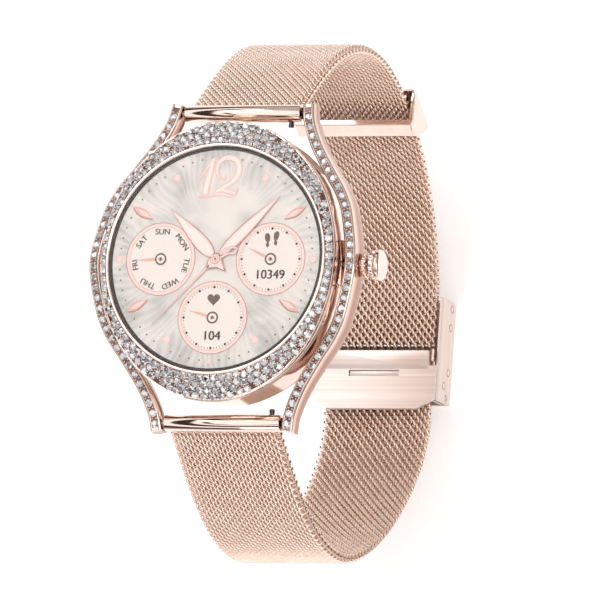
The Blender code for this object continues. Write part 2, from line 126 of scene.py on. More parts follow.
def add(tree, kind, links=(), **settings):
    """A shader node. `links` are (input, output socket) pairs, and a setting names a property or an input."""
    node = tree.nodes.new(kind)
    for key, value in settings.items():
        if hasattr(node, key):
            setattr(node, key, value)
        else:
            node.inputs[key.replace("_", " ")].default_value = value
    for socket, source in links:
        tree.links.new(source, node.inputs[socket])
    return node


def ramp(tree, source, *stops):
    """A colour ramp over (position, colour) stops."""
    node = add(tree, "ShaderNodeValToRGB", [("Fac", source)])
    points = node.color_ramp.elements
    while len(points) < len(stops):
        points.new(0.5)
    for point, (position, colour) in zip(points, stops):
        point.position = position
        point.color = (*colour, 1)
    return node.outputs["Color"]


def math_node(tree, operation, a, b=0.0):
    node = tree.nodes.new("ShaderNodeMath")
    node.operation = operation
    for socket, value in zip(node.inputs, (a, b)):
        if isinstance(value, (int, float)):
            socket.default_value = value
        else:
            tree.links.new(value, socket)
    return node.outputs[0]


def stretched(tree, scale):
    """The piece's own coordinates in metres, scaled along each axis."""
    place = add(tree, "ShaderNodeTexCoord").outputs["Object"]
    return add(tree, "ShaderNodeMapping", [("Vector", place)], Scale=scale).outputs["Vector"]


def set_grain(tree, shader, fac, rough, bump, depth=0.00001):
    """Links a pattern to the shader's roughness range and to a fine bump."""
    span_node = add(tree, "ShaderNodeMapRange", [("Value", fac)], To_Min=rough[0], To_Max=rough[1])
    tree.links.new(span_node.outputs["Result"], shader.inputs["Roughness"])
    relief = add(tree, "ShaderNodeBump", [("Height", fac)], Strength=bump, Distance=depth)
    tree.links.new(relief.outputs["Normal"], shader.inputs["Normal"])


def metal(name, dark, light, rough, scale=(500, 500, 500), bump=0.02, colour_scale=(90, 90, 90)):
    """Metal with cloudy colour and a fine grain. A stretched scale gives brushed lines."""
    material, tree, shader = new_material(name)
    clouds = add(tree, "ShaderNodeTexNoise", [("Vector", stretched(tree, colour_scale))], Detail=3.0)
    tree.links.new(ramp(tree, clouds.outputs["Fac"], (0.3, dark), (0.7, light)), shader.inputs["Base Color"])
    grain = add(tree, "ShaderNodeTexNoise", [("Vector", stretched(tree, scale))], Detail=6.0, Scale=4.0)
    set_grain(tree, shader, grain.outputs["Fac"], rough, bump)
    shader.inputs["Metallic"].default_value = 1.0
    return material


def paint_dark_reflection_below(material, shade):
    """Paints a dark reflection into a metal's colour: multiplies it by `shade` where its mesh's attribute `drop` is
    high, near the bottom edge.
    """
    tree = material.node_tree
    base = tree.nodes["Principled BSDF"].inputs["Base Color"]
    drop = add(tree, "ShaderNodeAttribute", attribute_name="drop").outputs["Fac"]
    # The painted dark reflection: no change near the top, the brown `shade` towards the bottom.
    painted_reflection = ramp(tree, drop, (0.06, (1.0, 1.0, 1.0)), (0.36, shade))
    mix = add(tree, "ShaderNodeMix", data_type="RGBA", blend_type="MULTIPLY")
    mix.inputs["Factor"].default_value = 1.0
    tree.links.new(base.links[0].from_socket, mix.inputs[6])
    tree.links.new(painted_reflection, mix.inputs[7])
    tree.links.new(mix.outputs[2], base)
    return material


def plastic(name, dark, light, rough, scale=900, bump=0.15, metallic=0.0):
    """Moulded plastic, rubber, board or foil: slightly mottled, with a fine grain."""
    material, tree, shader = new_material(name)
    noise = add(tree, "ShaderNodeTexNoise", [("Vector", stretched(tree, (scale,) * 3))], Detail=5.0)
    tree.links.new(ramp(tree, noise.outputs["Fac"], (0.35, dark), (0.65, light)), shader.inputs["Base Color"])
    set_grain(tree, shader, noise.outputs["Fac"], rough, bump)
    shader.inputs["Metallic"].default_value = metallic
    return material


def stone_material():
    """Bright cut stones with painted reflections: each facet holds its own grey, from near black to white, in a face
    attribute, which stands for the cut's glints and dark reflections.
    """
    material, tree, shader = new_material("cut_stone_painted_glints")
    facet_glint = add(tree, "ShaderNodeAttribute", attribute_name="facet_glint")
    colour = ramp(
        tree, facet_glint.outputs["Fac"],
        (0.0, (0.03, 0.03, 0.035)), (0.25, (0.26, 0.265, 0.28)), (0.6, (0.60, 0.605, 0.62)), (1.0, (1.0, 1.0, 1.0)),
    )
    tree.links.new(colour, shader.inputs["Base Color"])
    shader.inputs["Roughness"].default_value = 0.06
    shader.inputs["Metallic"].default_value = 0.35
    shader.inputs["Specular IOR Level"].default_value = 0.9
    shader.inputs["Coat Weight"].default_value = 0.6
    return material


def glass_material():
    """Clear cover glass: see-through, with a reflection that grows towards grazing angles."""
    material, tree, shader = new_material("cover_glass")
    tree.nodes.remove(shader)
    clear = add(tree, "ShaderNodeBsdfTransparent")
    gloss = add(tree, "ShaderNodeBsdfGlossy", Roughness=0.02)
    facing = add(tree, "ShaderNodeLayerWeight", Blend=0.5).outputs["Facing"]
    mirror = math_node(tree, "MULTIPLY", math_node(tree, "POWER", facing, 5.0), 0.9)
    share = math_node(tree, "ADD", mirror, 0.008)
    mix = add(tree, "ShaderNodeMixShader", [(0, share), (1, clear.outputs[0]), (2, gloss.outputs[0])])
    tree.links.new(mix.outputs[0], tree.nodes["Material Output"].inputs["Surface"])
    return material


def printed(name, dark, light, scale=600, glow=0.04):
    """A colour of the lit dial image, faintly mottled."""
    material, tree, shader = new_material(name)
    noise = add(tree, "ShaderNodeTexNoise", [("Vector", stretched(tree, (scale,) * 3))], Detail=2.0)
    colour = ramp(tree, noise.outputs["Fac"], (0.3, dark), (0.7, light))
    tree.links.new(colour, shader.inputs["Base Color"])
    tree.links.new(colour, shader.inputs["Emission Color"])
    shader.inputs["Emission Strength"].default_value = glow
    shader.inputs["Roughness"].default_value = 0.45
    return material


def pearl_dial():
    """Mother-of-pearl with wavy rays that grow stronger towards the edge."""
    material, tree, shader = new_material("pearl_dial")
    place = add(tree, "ShaderNodeTexCoord").outputs["Object"]
    xyz = add(tree, "ShaderNodeSeparateXYZ", [("Vector", place)])
    x, y = xyz.outputs["X"], xyz.outputs["Y"]
    angle = math_node(tree, "ARCTAN2", y, x)
    flat = add(tree, "ShaderNodeCombineXYZ", [("X", x), ("Y", y)]).outputs["Vector"]
    radius = add(tree, "ShaderNodeVectorMath", [(0, flat)], operation="LENGTH").outputs["Value"]
    petals = math_node(tree, "SINE", math_node(tree, "MULTIPLY", angle, 6.0))
    bend = math_node(tree, "MULTIPLY", petals, 2.6)
    twist = math_node(tree, "SINE", math_node(tree, "ADD", math_node(tree, "MULTIPLY", radius, 620.0), bend))
    phase = math_node(tree, "ADD", math_node(tree, "MULTIPLY", angle, 84.0), math_node(tree, "MULTIPLY", twist, 3.0))
    rays = math_node(tree, "MULTIPLY", math_node(tree, "SINE", phase), 0.5)
    edge = add(tree, "ShaderNodeMapRange", [("Value", radius)], From_Min=0.005, From_Max=0.0150).outputs["Result"]
    clouds = add(tree, "ShaderNodeTexNoise", [("Vector", stretched(tree, (42, 42, 42)))], Detail=2.0)
    strength = math_node(tree, "MULTIPLY", edge, 0.14)
    shade = math_node(tree, "ADD", math_node(tree, "MULTIPLY", rays, strength), clouds.outputs["Fac"])
    shade = math_node(tree, "SUBTRACT", shade, math_node(tree, "MULTIPLY", edge, 0.12))
    colour = ramp(
        tree, shade,
        (0.22, (0.52, 0.49, 0.46)), (0.40, (0.68, 0.64, 0.60)), (0.56, (0.80, 0.73, 0.67)), (0.8, (0.86, 0.79, 0.73)),
    )
    tree.links.new(colour, shader.inputs["Base Color"])
    tree.links.new(colour, shader.inputs["Emission Color"])
    shader.inputs["Emission Strength"].default_value = 0.02
    shader.inputs["Roughness"].default_value = 0.35
    return material


ROSE_DARK, ROSE_LIGHT = (0.84, 0.66, 0.58), (0.90, 0.73, 0.65)
POLISHED = metal("polished_rose_gold", ROSE_DARK, ROSE_LIGHT, (0.05, 0.13))
# Rose gold for the bows, with a painted dark reflection on their lower walls.
BOW_GOLD_PAINTED_REFLECTION = paint_dark_reflection_below(metal("bow_rose_gold_painted_reflection", ROSE_DARK, ROSE_LIGHT, (0.05, 0.13)), (0.50, 0.34, 0.28))
WIRE = metal("rose_gold_wire", (0.92, 0.71, 0.60), (0.98, 0.81, 0.70), (0.20, 0.36), bump=0.1)
# A dark metal for painted shade: strips along the stones' channel floors and rings round the cover's rivet heads.
PAINTED_SHADE_METAL = metal("painted_shade_metal", (0.13, 0.07, 0.06), (0.30, 0.18, 0.15), (0.3, 0.5))
DARK_STEEL = metal("dark_steel", (0.05, 0.05, 0.055), (0.12, 0.12, 0.125), (0.2, 0.35))
BRUSHED = metal("brushed_pale_gold", (0.72, 0.61, 0.56), (0.86, 0.76, 0.71), (0.3, 0.5), (14, 700, 700), 0.2, (3, 420, 420))
BRUSHED_SIDE = metal("brushed_pale_gold_cover", (0.76, 0.64, 0.58), (0.86, 0.74, 0.68), (0.3, 0.5), (700, 14, 700), 0.1, (420, 3, 420))
STEEL = metal("satin_steel", (0.50, 0.50, 0.51), (0.66, 0.66, 0.67), (0.2, 0.35), (60, 1500, 1500), 0.1)
BACK_METAL = metal("satin_rose_back", (0.70, 0.48, 0.40), (0.80, 0.58, 0.50), (0.25, 0.4), (1500, 60, 1500), 0.2)
STONES = stone_material()
GLASS = glass_material()
BLACK = plastic("black_plastic", (0.010, 0.010, 0.011), (0.022, 0.022, 0.024), (0.18, 0.32))
RUBBER = plastic("black_rubber", (0.012, 0.012, 0.012), (0.03, 0.03, 0.03), (0.6, 0.8))
BOARD = plastic("green_board", (0.01, 0.09, 0.04), (0.02, 0.16, 0.07), (0.35, 0.5))
FOIL = plastic("battery_foil", (0.30, 0.31, 0.33), (0.42, 0.43, 0.45), (0.3, 0.5), 400, 0.3, 0.7)
CONTACT = metal("gold_contact", (0.78, 0.52, 0.18), (0.90, 0.66, 0.30), (0.12, 0.25))
PEARL = pearl_dial()
IVORY = printed("dial_ivory", (0.84, 0.75, 0.68), (0.87, 0.79, 0.73))
PINK = printed("dial_pink", (0.80, 0.40, 0.34), (0.86, 0.48, 0.42))
PALE_PINK = printed("dial_pale_pink", (0.90, 0.64, 0.57), (0.94, 0.71, 0.65))
LINE_BROWN = printed("dial_line", (0.40, 0.19, 0.16), (0.50, 0.27, 0.23), glow=0.05)
TEXT_BROWN = printed("dial_text", (0.12, 0.075, 0.06), (0.18, 0.12, 0.10), glow=0.02)
DOT_BLACK = printed("dial_dot", (0.012, 0.010, 0.010), (0.03, 0.025, 0.02), glow=0.0)


# Pieces

def piece(name, mesh, material, body, nodes=(), smooth=35):
    """Adds a mesh as a piece that rides on a body, in the place of the given CAD nodes."""
    mesh.materials.clear()
    mesh.materials.append(material)
    if smooth:
        mesh.shade_smooth()
        mesh.set_sharp_from_angle(angle=math.radians(smooth))
    made = bpy.data.objects.new(name, mesh)
    bpy.context.scene.collection.objects.link(made)
    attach(made, body)
    if nodes:
        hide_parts(*nodes)
    return made


def grid_mesh(name, loops, across=True, along=False):
    """A mesh over a table of points in millimetres. `across` closes each loop and `along` joins last to first."""
    points = np.asarray(loops, float)
    rows, count = points.shape[:2]
    last_row, last_column = rows - (0 if along else 1), count - (0 if across else 1)
    r, c = np.meshgrid(np.arange(last_row), np.arange(last_column), indexing="ij")
    r2, c2 = (r + 1) % rows, (c + 1) % count
    faces = np.stack([r * count + c, r * count + c2, r2 * count + c2, r2 * count + c], -1).reshape(-1, 4)
    mesh = bpy.data.meshes.new(name)
    mesh.from_pydata(points.reshape(-1, 3) * MM, [], faces.tolist())
    return mesh


def outward(mesh):
    """Turns a closed mesh's faces outward and fills its open ends."""
    bm = bmesh.new()
    bm.from_mesh(mesh)
    bmesh.ops.holes_fill(bm, edges=[e for e in bm.edges if e.is_boundary])
    bmesh.ops.recalc_face_normals(bm, faces=bm.faces)
    bm.to_mesh(mesh)
    bm.free()
    return mesh


def turned_mesh(name, outline, centre, axis="X", steps=64, radius_of=None):
    """Turns (radius, height) points about an axis. `radius_of` may change the radius with the angle."""
    loops = []
    for r, h in outline:
        loop = []
        for i in range(steps):
            a = 2 * math.pi * i / steps
            rr = radius_of(r, h, a) if radius_of else r
            u, v = rr * math.cos(a), rr * math.sin(a)
            local = (h, u, v) if axis == "X" else (u, v, h)
            loop.append([local[k] + centre[k] for k in range(3)])
        loops.append(loop)
    return outward(grid_mesh(name, loops))


def refined(node, material, bevel=0.08, segments=3, name=None):
    """A bevelled copy of a CAD node's mesh, which stands for that node."""
    source = frame["nodes"][node]
    bm = bmesh.new()
    bm.from_mesh(source.data)
    bmesh.ops.remove_doubles(bm, verts=bm.verts, dist=0.000002)
    bmesh.ops.dissolve_limit(bm, angle_limit=math.radians(1), verts=bm.verts, edges=bm.edges)
    mesh = bpy.data.meshes.new(name or f"{node}_finish")
    bm.to_mesh(mesh)
    bm.free()
    made = piece(name or f"{node}_finish", mesh, material, body_of(source)[0], [node])
    made.matrix_world = source.matrix_world.copy()
    if bevel:
        edge = made.modifiers.new("edges", "BEVEL")
        edge.width = bevel * MM
        edge.segments = segments
        edge.limit_method = "ANGLE"
        edge.angle_limit = math.radians(40)
        edge.harden_normals = False
    return made


def merged(name, meshes, material, body, nodes=(), smooth=35):
    """One piece from several meshes."""
    bm = bmesh.new()
    for mesh in meshes:
        bm.from_mesh(mesh)
    joined = bpy.data.meshes.new(name)
    bm.to_mesh(joined)
    bm.free()
    return piece(name, joined, material, body, nodes, smooth)


# Stones: one brilliant cut mesh, set many times

def stone_template():
    """(points, faces) of a brilliant cut stone of radius 1, with its girdle at height 0."""
    table = [(0.52 * math.cos(a), 0.52 * math.sin(a), 0.42) for a in np.arange(8) * math.pi / 4]
    star = [(0.80 * math.cos(a), 0.80 * math.sin(a), 0.27) for a in (np.arange(8) + 0.5) * math.pi / 4]
    girdle = [(math.cos(a), math.sin(a), 0) for a in np.arange(16) * math.pi / 8]
    skirt = [(0.86 * x, 0.86 * y, -0.35) for x, y, _ in girdle]
    points = table + star + girdle + skirt
    faces = [list(range(8))]
    for i in range(8):
        j = (i + 1) % 8
        t0, t1, s0, s1 = i, j, 8 + i, 8 + j
        g0, g1, g2, g3 = (16 + (2 * i + k) % 16 for k in range(4))
        faces += [[t0, s0, t1], [t1, s0, g2, s1], [s0, g0, g1] if i == -1 else [s0, g1, g2]]
        faces += [[s0, g0, g1]]
    for i in range(16):
        j = (i + 1) % 16
        faces.append([16 + i, 32 + i, 32 + j, 16 + j])
    return np.array(points), faces


def set_stones(name, seats, body):
    """One piece of many stones. A seat is (place, outward normal, diameter), in millimetres."""
    points, faces = stone_template()
    rng = random.Random(4)
    all_points, all_faces, glint_greys = [], [], []
    for place, normal, size in seats:
        turn = Vector(normal).to_track_quat("Z", "Y") @ Matrix.Rotation(rng.uniform(0, 6.28), 3, "Z").to_quaternion()
        lean = Matrix.Rotation(rng.uniform(-0.07, 0.07), 3, "X")
        matrix = np.array(turn.to_matrix() @ lean)
        start = len(all_points) * len(points)
        all_points.append(points @ matrix.T * size / 2 + np.array(place))
        for face in faces:
            all_faces.append([start + i for i in face])
            # A random grey for each facet: painted glints and dark reflections.
            glint_greys.append(min(1.0, max(0.0, rng.betavariate(1.6, 1.1))))
    mesh = bpy.data.meshes.new(name)
    mesh.from_pydata((np.concatenate(all_points) * MM).tolist(), [], all_faces)
    facet_glint = mesh.attributes.new("facet_glint", "FLOAT", "FACE")
    facet_glint.data.foreach_set("value", glint_greys)
    return piece(name, mesh, STONES, body, smooth=None)


def set_grains(name, places, radius, body):
    """Small polished beads that hold the stones, as one piece."""
    bm = bmesh.new()
    for place in places:
        at = Matrix.Translation(Vector(place) * MM)
        bmesh.ops.create_icosphere(bm, subdivisions=2, radius=radius * MM, matrix=at)
    mesh = bpy.data.meshes.new(name)
    bm.to_mesh(mesh)
    bm.free()
    return piece(name, mesh, POLISHED, body, smooth=180)


# Bezel

def bezel_point(angle, share):
    """A place on the bezel's slope: share 0 at its inner rim, 1 at its outer rim. In millimetres."""
    inner_r = RING_R[1] + 0.02
    outer = (BEZEL_HALF[0] - 0.08, BEZEL_HALF[1] - 0.12)
    drop = 0.85 + 0.80 * math.sin(angle) ** 2
    x = (inner_r + (outer[0] - inner_r) * share) * math.cos(angle)
    y = (inner_r + (outer[1] - inner_r) * share) * math.sin(angle)
    return Vector((x, y, GLASS_TOP - 0.06 - drop * share))


def bezel_normal(angle, share):
    step = 0.001
    along = bezel_point(angle + step, share) - bezel_point(angle - step, share)
    down = bezel_point(angle, share + step) - bezel_point(angle, share - step)
    normal = down.cross(along).normalized()
    return normal if normal.z > 0 else -normal


def slope_loop(share, lift, steps):
    """Points right round the bezel's slope, raised along its normal."""
    loop = []
    for a in np.arange(steps) * 2 * math.pi / steps:
        loop.append(bezel_point(a, share) + bezel_normal(a, min(max(share, 0.01), 0.99)) * lift)
    return loop


def make_bezel():
    """The polished ring round the glass, and a dark strip of painted shade in the channel that the stones sit in."""
    top, steps = GLASS_TOP - 0.02, 192
    angles = np.arange(steps) * 2 * math.pi / steps
    inner, outer = RING_R
    circles = [(17.3, BEZEL_BOTTOM), (17.3, top - 1.25), (inner, top - 1.2), (inner, top - 0.16)]
    circles += [(inner + 0.04, top - 0.07), (inner + 0.14, top - 0.01), (inner + 0.24, top)]
    circles += [(outer - 0.14, top), (outer - 0.05, top - 0.02), (outer, top - 0.06)]
    loops = [[(r * math.cos(a), r * math.sin(a), z) for a in angles] for r, z in circles]
    loops += [slope_loop(share, lift, steps) for share, lift in ((0.03, -0.12), (0.5, -0.12), (0.95, -0.12), (1.0, 0.0))]
    half_x, half_y = BEZEL_HALF
    for grow, drop in ((-0.01, 0.1), (0.0, 0.25), (0.0, 0.9), (-0.1, 1.3), (-0.2, 1.5)):
        loop = []
        for a in angles:
            edge = bezel_point(a, 1).z - drop
            lowest = max(edge, BEZEL_BOTTOM)
            loop.append(((half_x + grow) * math.cos(a), (half_y + grow) * math.sin(a), lowest))
        loops.append(loop)
    loops.append([((half_x - 0.2) * math.cos(a), (half_y - 0.2) * math.sin(a), BEZEL_BOTTOM) for a in angles])
    mesh = outward(grid_mesh("bezel_finish", loops, along=True))
    piece("bezel_finish", mesh, POLISHED, "case", ["bezel_ring"], 50)
    # A dark strip along the channel floor: painted shade between the stones.
    strip = [slope_loop(share, lift, steps) for share, lift in ((0.04, -0.11), (0.04, -0.05), (0.5, -0.05), (0.94, -0.05), (0.94, -0.11))]
    piece("bezel_shade_strip", outward(grid_mesh("bezel_shade_strip", strip, along=True)), PAINTED_SHADE_METAL, "case", smooth=50)


def slope_points(angle, share):
    """The slope's places for arrays of angles and shares."""
    start_r = RING_R[1] + 0.02
    drop = 0.85 + 0.80 * np.sin(angle) ** 2
    x = (start_r + (BEZEL_HALF[0] - 0.08 - start_r) * share) * np.cos(angle)
    y = (start_r + (BEZEL_HALF[1] - 0.12 - start_r) * share) * np.sin(angle)
    return np.stack([x, y, GLASS_TOP - 0.06 - drop * share], 1)


def bezel_seats(count=206, rounds=160):
    """Stone places spread evenly over the bezel's slope: each stone pushes its neighbours away until they settle."""
    grid = np.linspace(0, 2 * math.pi, 721)
    lengths = np.linalg.norm(slope_points(grid, np.ones(721)) - slope_points(grid, np.zeros(721)), axis=1)
    weight = np.cumsum(np.maximum(lengths - 0.55, 0.5))
    angle = np.interp((np.arange(count) + 0.5) / count, weight / weight[-1], grid)
    rows = np.clip(np.interp(angle, grid, lengths) / 0.93, 1, 4).astype(int)
    share = (np.arange(count) * 3 % rows + 0.5) / rows
    for _ in range(rounds):
        place = slope_points(angle, share)
        length = np.interp(angle % (2 * math.pi), grid, lengths)
        size = STONE + (SIDE_STONE - STONE) * np.clip((1.9 - length) / 0.45, 0, 1)
        gap = place[:, None] - place[None]
        distance = np.linalg.norm(gap, axis=2) + np.eye(count) * 9
        wanted = (size[:, None] + size[None]) / 2 * 1.05
        push = np.maximum(wanted - distance, 0) / distance * 0.4
        move = (gap * push[:, :, None]).sum(1)
        round_way = (slope_points(angle + 0.001, share) - place) / 0.001
        down_way = (slope_points(angle, share + 0.001) - place) / 0.001
        angle = angle + (move * round_way).sum(1) / (round_way**2).sum(1)
        edge = (size / 2 + 0.02) / length
        share = share + (move * down_way).sum(1) / (down_way**2).sum(1)
        share = np.clip(share, np.minimum(edge, 0.5), np.maximum(1 - edge, 0.5))
    seats = []
    for a, t, s in zip(angle, share, size):
        spot = bezel_point(a, t)
        if all((spot - other[0]).length > (s + other[2]) / 2 * 0.90 for other in seats):
            seats.append((spot, bezel_normal(a, t), s))
    return seats, seat_grains(seats)


def seat_grains(seats):
    """Places for the small beads in the gaps between the stones."""
    grains = []
    for i, (place, normal, size) in enumerate(seats):
        side = normal.orthogonal().normalized()
        for k in range(10):
            a = k * math.pi / 5 + i
            spot = place + (side * math.cos(a) + normal.cross(side) * math.sin(a)) * (size / 2 + 0.08)
            outer = math.hypot(spot.x / BEZEL_HALF[0], spot.y / BEZEL_HALF[1])
            inside = math.hypot(spot.x, spot.y) > RING_R[1] + 0.06 and outer < 0.988
            clear = all((spot - other[0]).length > other[2] / 2 + 0.05 for other in seats)
            if inside and clear and all((spot - other).length > 0.26 for other in grains):
                grains.append(spot)
    return grains


# Lug frames

def lug_line(count=10):
    """Outer (x, y) points along half a lug frame."""
    points = [Vector(p) for p in LUG_OUTLINE]
    points.insert(0, Vector((LUG_OUTLINE[1][0], -LUG_OUTLINE[1][1])))
    points.append(2 * points[-1] - points[-2])
    found = []
    for a, b, c, d in zip(points, points[1:], points[2:], points[3:]):
        found += interpolate_bezier(b, b + (c - a) / 6, c - (d - b) / 6, c, count + 1)[:-1]
    return [p.to_2d() for p in found] + [points[-2]]


def lug_stations():
    """(outer point, inward normal, top, bottom) from one end of a lug frame to the other."""
    line = lug_line()
    half = []
    for i, point in enumerate(line):
        along = (line[min(i + 1, len(line) - 1)] - line[max(i - 1, 0)]).normalized() if i else Vector((0, 1))
        share = (point.y / LUG_END_Y) ** 1.4
        top, bottom = GLASS_TOP - 2.7 - 4.3 * share, GLASS_TOP - 7.2 - 2.6 * share
        half.append((point, Vector((-along.y, along.x)), top, bottom))
    flip = [(Vector((p.x, -p.y)), Vector((n.x, -n.y)), t, b) for p, n, t, b in half[:0:-1]]
    return flip + half


def make_lug_frame(name, side):
    """A polished bow with a sunk channel along its top, and its row of stones. Its lower wall carries a painted dark
    reflection, and a dark strip of painted shade lies along the channel floor.
    """
    stations = lug_stations()
    loops = []
    for point, inward, top, bottom in stations:
        width = LUG_WIDTH
        middle, half_high, low = (top + bottom) / 2, (top - bottom) / 2, width - 0.42
        corners = []
        for k in range(15):
            a = math.radians(-90 + 180 * k / 14)
            lift = math.copysign(abs(math.sin(a)) ** 0.85, a)
            corners.append((0.50 - 0.56 * math.cos(a) ** 0.85, middle + half_high * lift))
        corners += [(0.55, top - 0.18), (low, top - 0.18), (low + 0.03, top - 0.02)]
        corners += [(low + 0.10, top), (low + 0.20, top - 0.03), (low + 0.36, top - 0.14), (width, top - 0.4)]
        corners += [(width, bottom + 0.4), (width - 0.1, bottom + 0.1), (width - 0.4, bottom)]
        loops.append([(side * (point.x + inward.x * w), point.y + inward.y * w, z) for w, z in corners])
    mesh = grid_mesh(f"{name}_finish", loops)
    # drop runs from 0 at a bow's top to 1 at its bottom; the bows' material paints a dark reflection where it is high.
    drop = mesh.attributes.new("drop", "FLOAT", "POINT")
    drop.data.foreach_set("value", [(top - z) / (top - bottom) for (_, _, top, bottom), loop in zip(stations, loops)
                                    for _, _, z in loop])
    mesh = outward(mesh)
    body = piece(f"{name}_finish", mesh, BOW_GOLD_PAINTED_REFLECTION, "case", [name], 50)
    # A dark strip along the channel floor: painted shade between the stones.
    floor = []
    for point, inward, top, _ in stations:
        corners = [(0.57, top - 0.2), (LUG_WIDTH - 0.44, top - 0.2), (LUG_WIDTH - 0.44, top - 0.1), (0.57, top - 0.1)]
        floor.append([(side * (point.x + inward.x * w), point.y + inward.y * w, z) for w, z in corners])
    shade_strip = outward(grid_mesh(f"{name}_setting", floor[2:-2]))
    piece(f"{name}_setting", shade_strip, PAINTED_SHADE_METAL, "case", smooth=50)
    edge = body.modifiers.new("ends", "BEVEL")
    edge.width = 0.08 * MM
    edge.segments = 2
    edge.limit_method = "ANGLE"
    edge.angle_limit = math.radians(60)
    seats, grains = [], []
    travelled, spacing = 0.0, 1.60
    middle = [Vector((side * (p.x + n.x * (LUG_WIDTH / 2 + 0.07)), p.y + n.y * LUG_WIDTH / 2, t)) for p, n, t, _ in stations]
    target = 1.0
    for a, b in zip(middle, middle[1:]):
        step = (b - a).length
        while target <= travelled + step:
            place = a.lerp(b, (target - travelled) / step)
            along = (b - a).normalized()
            normal = along.cross(Vector((0, 0, 1))).cross(along).normalized()
            lean = (normal + Vector((side * 0.10, 0, 0))).normalized()
            if abs(place.y) < LUG_END_Y - 1.0:
                seats.append((place - normal * 0.04, lean, 1.16))
                for across in (-0.30, 0.30):
                    grains.append(place + along * spacing / 2 + along.cross(normal) * across - normal * 0.06)
            target += spacing
        travelled += step
    set_stones(f"{name}_stones", seats, "case")
    set_grains(f"{name}_grains", [g for g in grains if abs(g.y) < LUG_END_Y - 1.2], 0.15, "case")


# Crown

def make_crown():
    at = (0, 0, CROWN_Z)
    tip = CROWN_TIP_X - 0.52

    def fluted(r, h, a):
        if 22.7 < h < 23.55 and r > 1.9:
            return r - 0.30 * (0.5 + 0.5 * math.cos(10 * a)) ** 3
        return r

    outline = [(0.0, 14.4), (0.55, 14.4), (0.55, 22.66), (1.7, 22.66), (2.0, 22.7), (2.2, 22.78), (2.24, 22.9)]
    outline += [(2.24, 23.3), (2.18, 23.42), (2.0, 23.5), (1.8, 23.52), (1.8, 23.64), (2.1, 23.66), (2.26, 23.72)]
    outline += [(2.34, 23.86), (2.32, 24.02), (2.2, 24.2), (1.95, 24.36), (1.5, 24.5), (0.8, 24.6), (0.0, tip)]
    mesh = turned_mesh("crown_finish", outline, at, steps=144, radius_of=fluted)
    piece("crown_finish", mesh, POLISHED, "crown", ["crown_knob"], 40)
    sleeve = [(0.95, 16.0), (1.25, 16.0), (1.25, 21.45), (1.55, 21.5), (1.55, 22.1), (0.95, 22.1)]
    loops = [turned_mesh("sleeve", sleeve + sleeve[:1], at)]
    beads = bmesh.new()
    for i in range(14):
        a = 2 * math.pi * (i + 0.5) / 14
        place = Vector((21.8, 1.62 * math.cos(a), CROWN_Z + 1.62 * math.sin(a))) * MM
        bmesh.ops.create_uvsphere(beads, u_segments=14, v_segments=8, radius=0.33 * MM, matrix=Matrix.Translation(place))
    bead_mesh = bpy.data.meshes.new("beads")
    beads.to_mesh(bead_mesh)
    beads.free()
    merged("crown_collar", loops + [bead_mesh], POLISHED, "case", ["crown_sleeve"], 50)


# Strap

def curve_points(a, b, c, d, count):
    return [p.to_2d() for p in interpolate_bezier(Vector(a), Vector(b), Vector(c), Vector(d), count)]


def strap_line(side, count=60):
    """(y, z) down the middle of one strap half, from its lug bar to its end in the clasp."""
    out = Vector((side * 0.64, -0.77))
    start = Vector((side * BAR_Y, BAR_Z)) + out * (TUBE_R + 0.05)
    side_point = Vector((side * STRAP_SIDE_Y, STRAP_SIDE_Z))
    front = curve_points(start, start + out * 10.5, side_point + Vector((0, 12)), side_point, count)
    handle = 15.5 if side > 0 else 14.0
    flat_y, flat_handle, end_y = (6.0, 14.0, -1.05) if side > 0 else (-12.0, 10.0, -3.2)
    flat = Vector((flat_y, STRAP_REST_Z))
    below = side_point - Vector((0, handle))
    rear = curve_points(side_point, below, flat + Vector((side * flat_handle, 0)), flat, count)
    return front[:-1] + rear + [Vector((end_y, STRAP_REST_Z))]


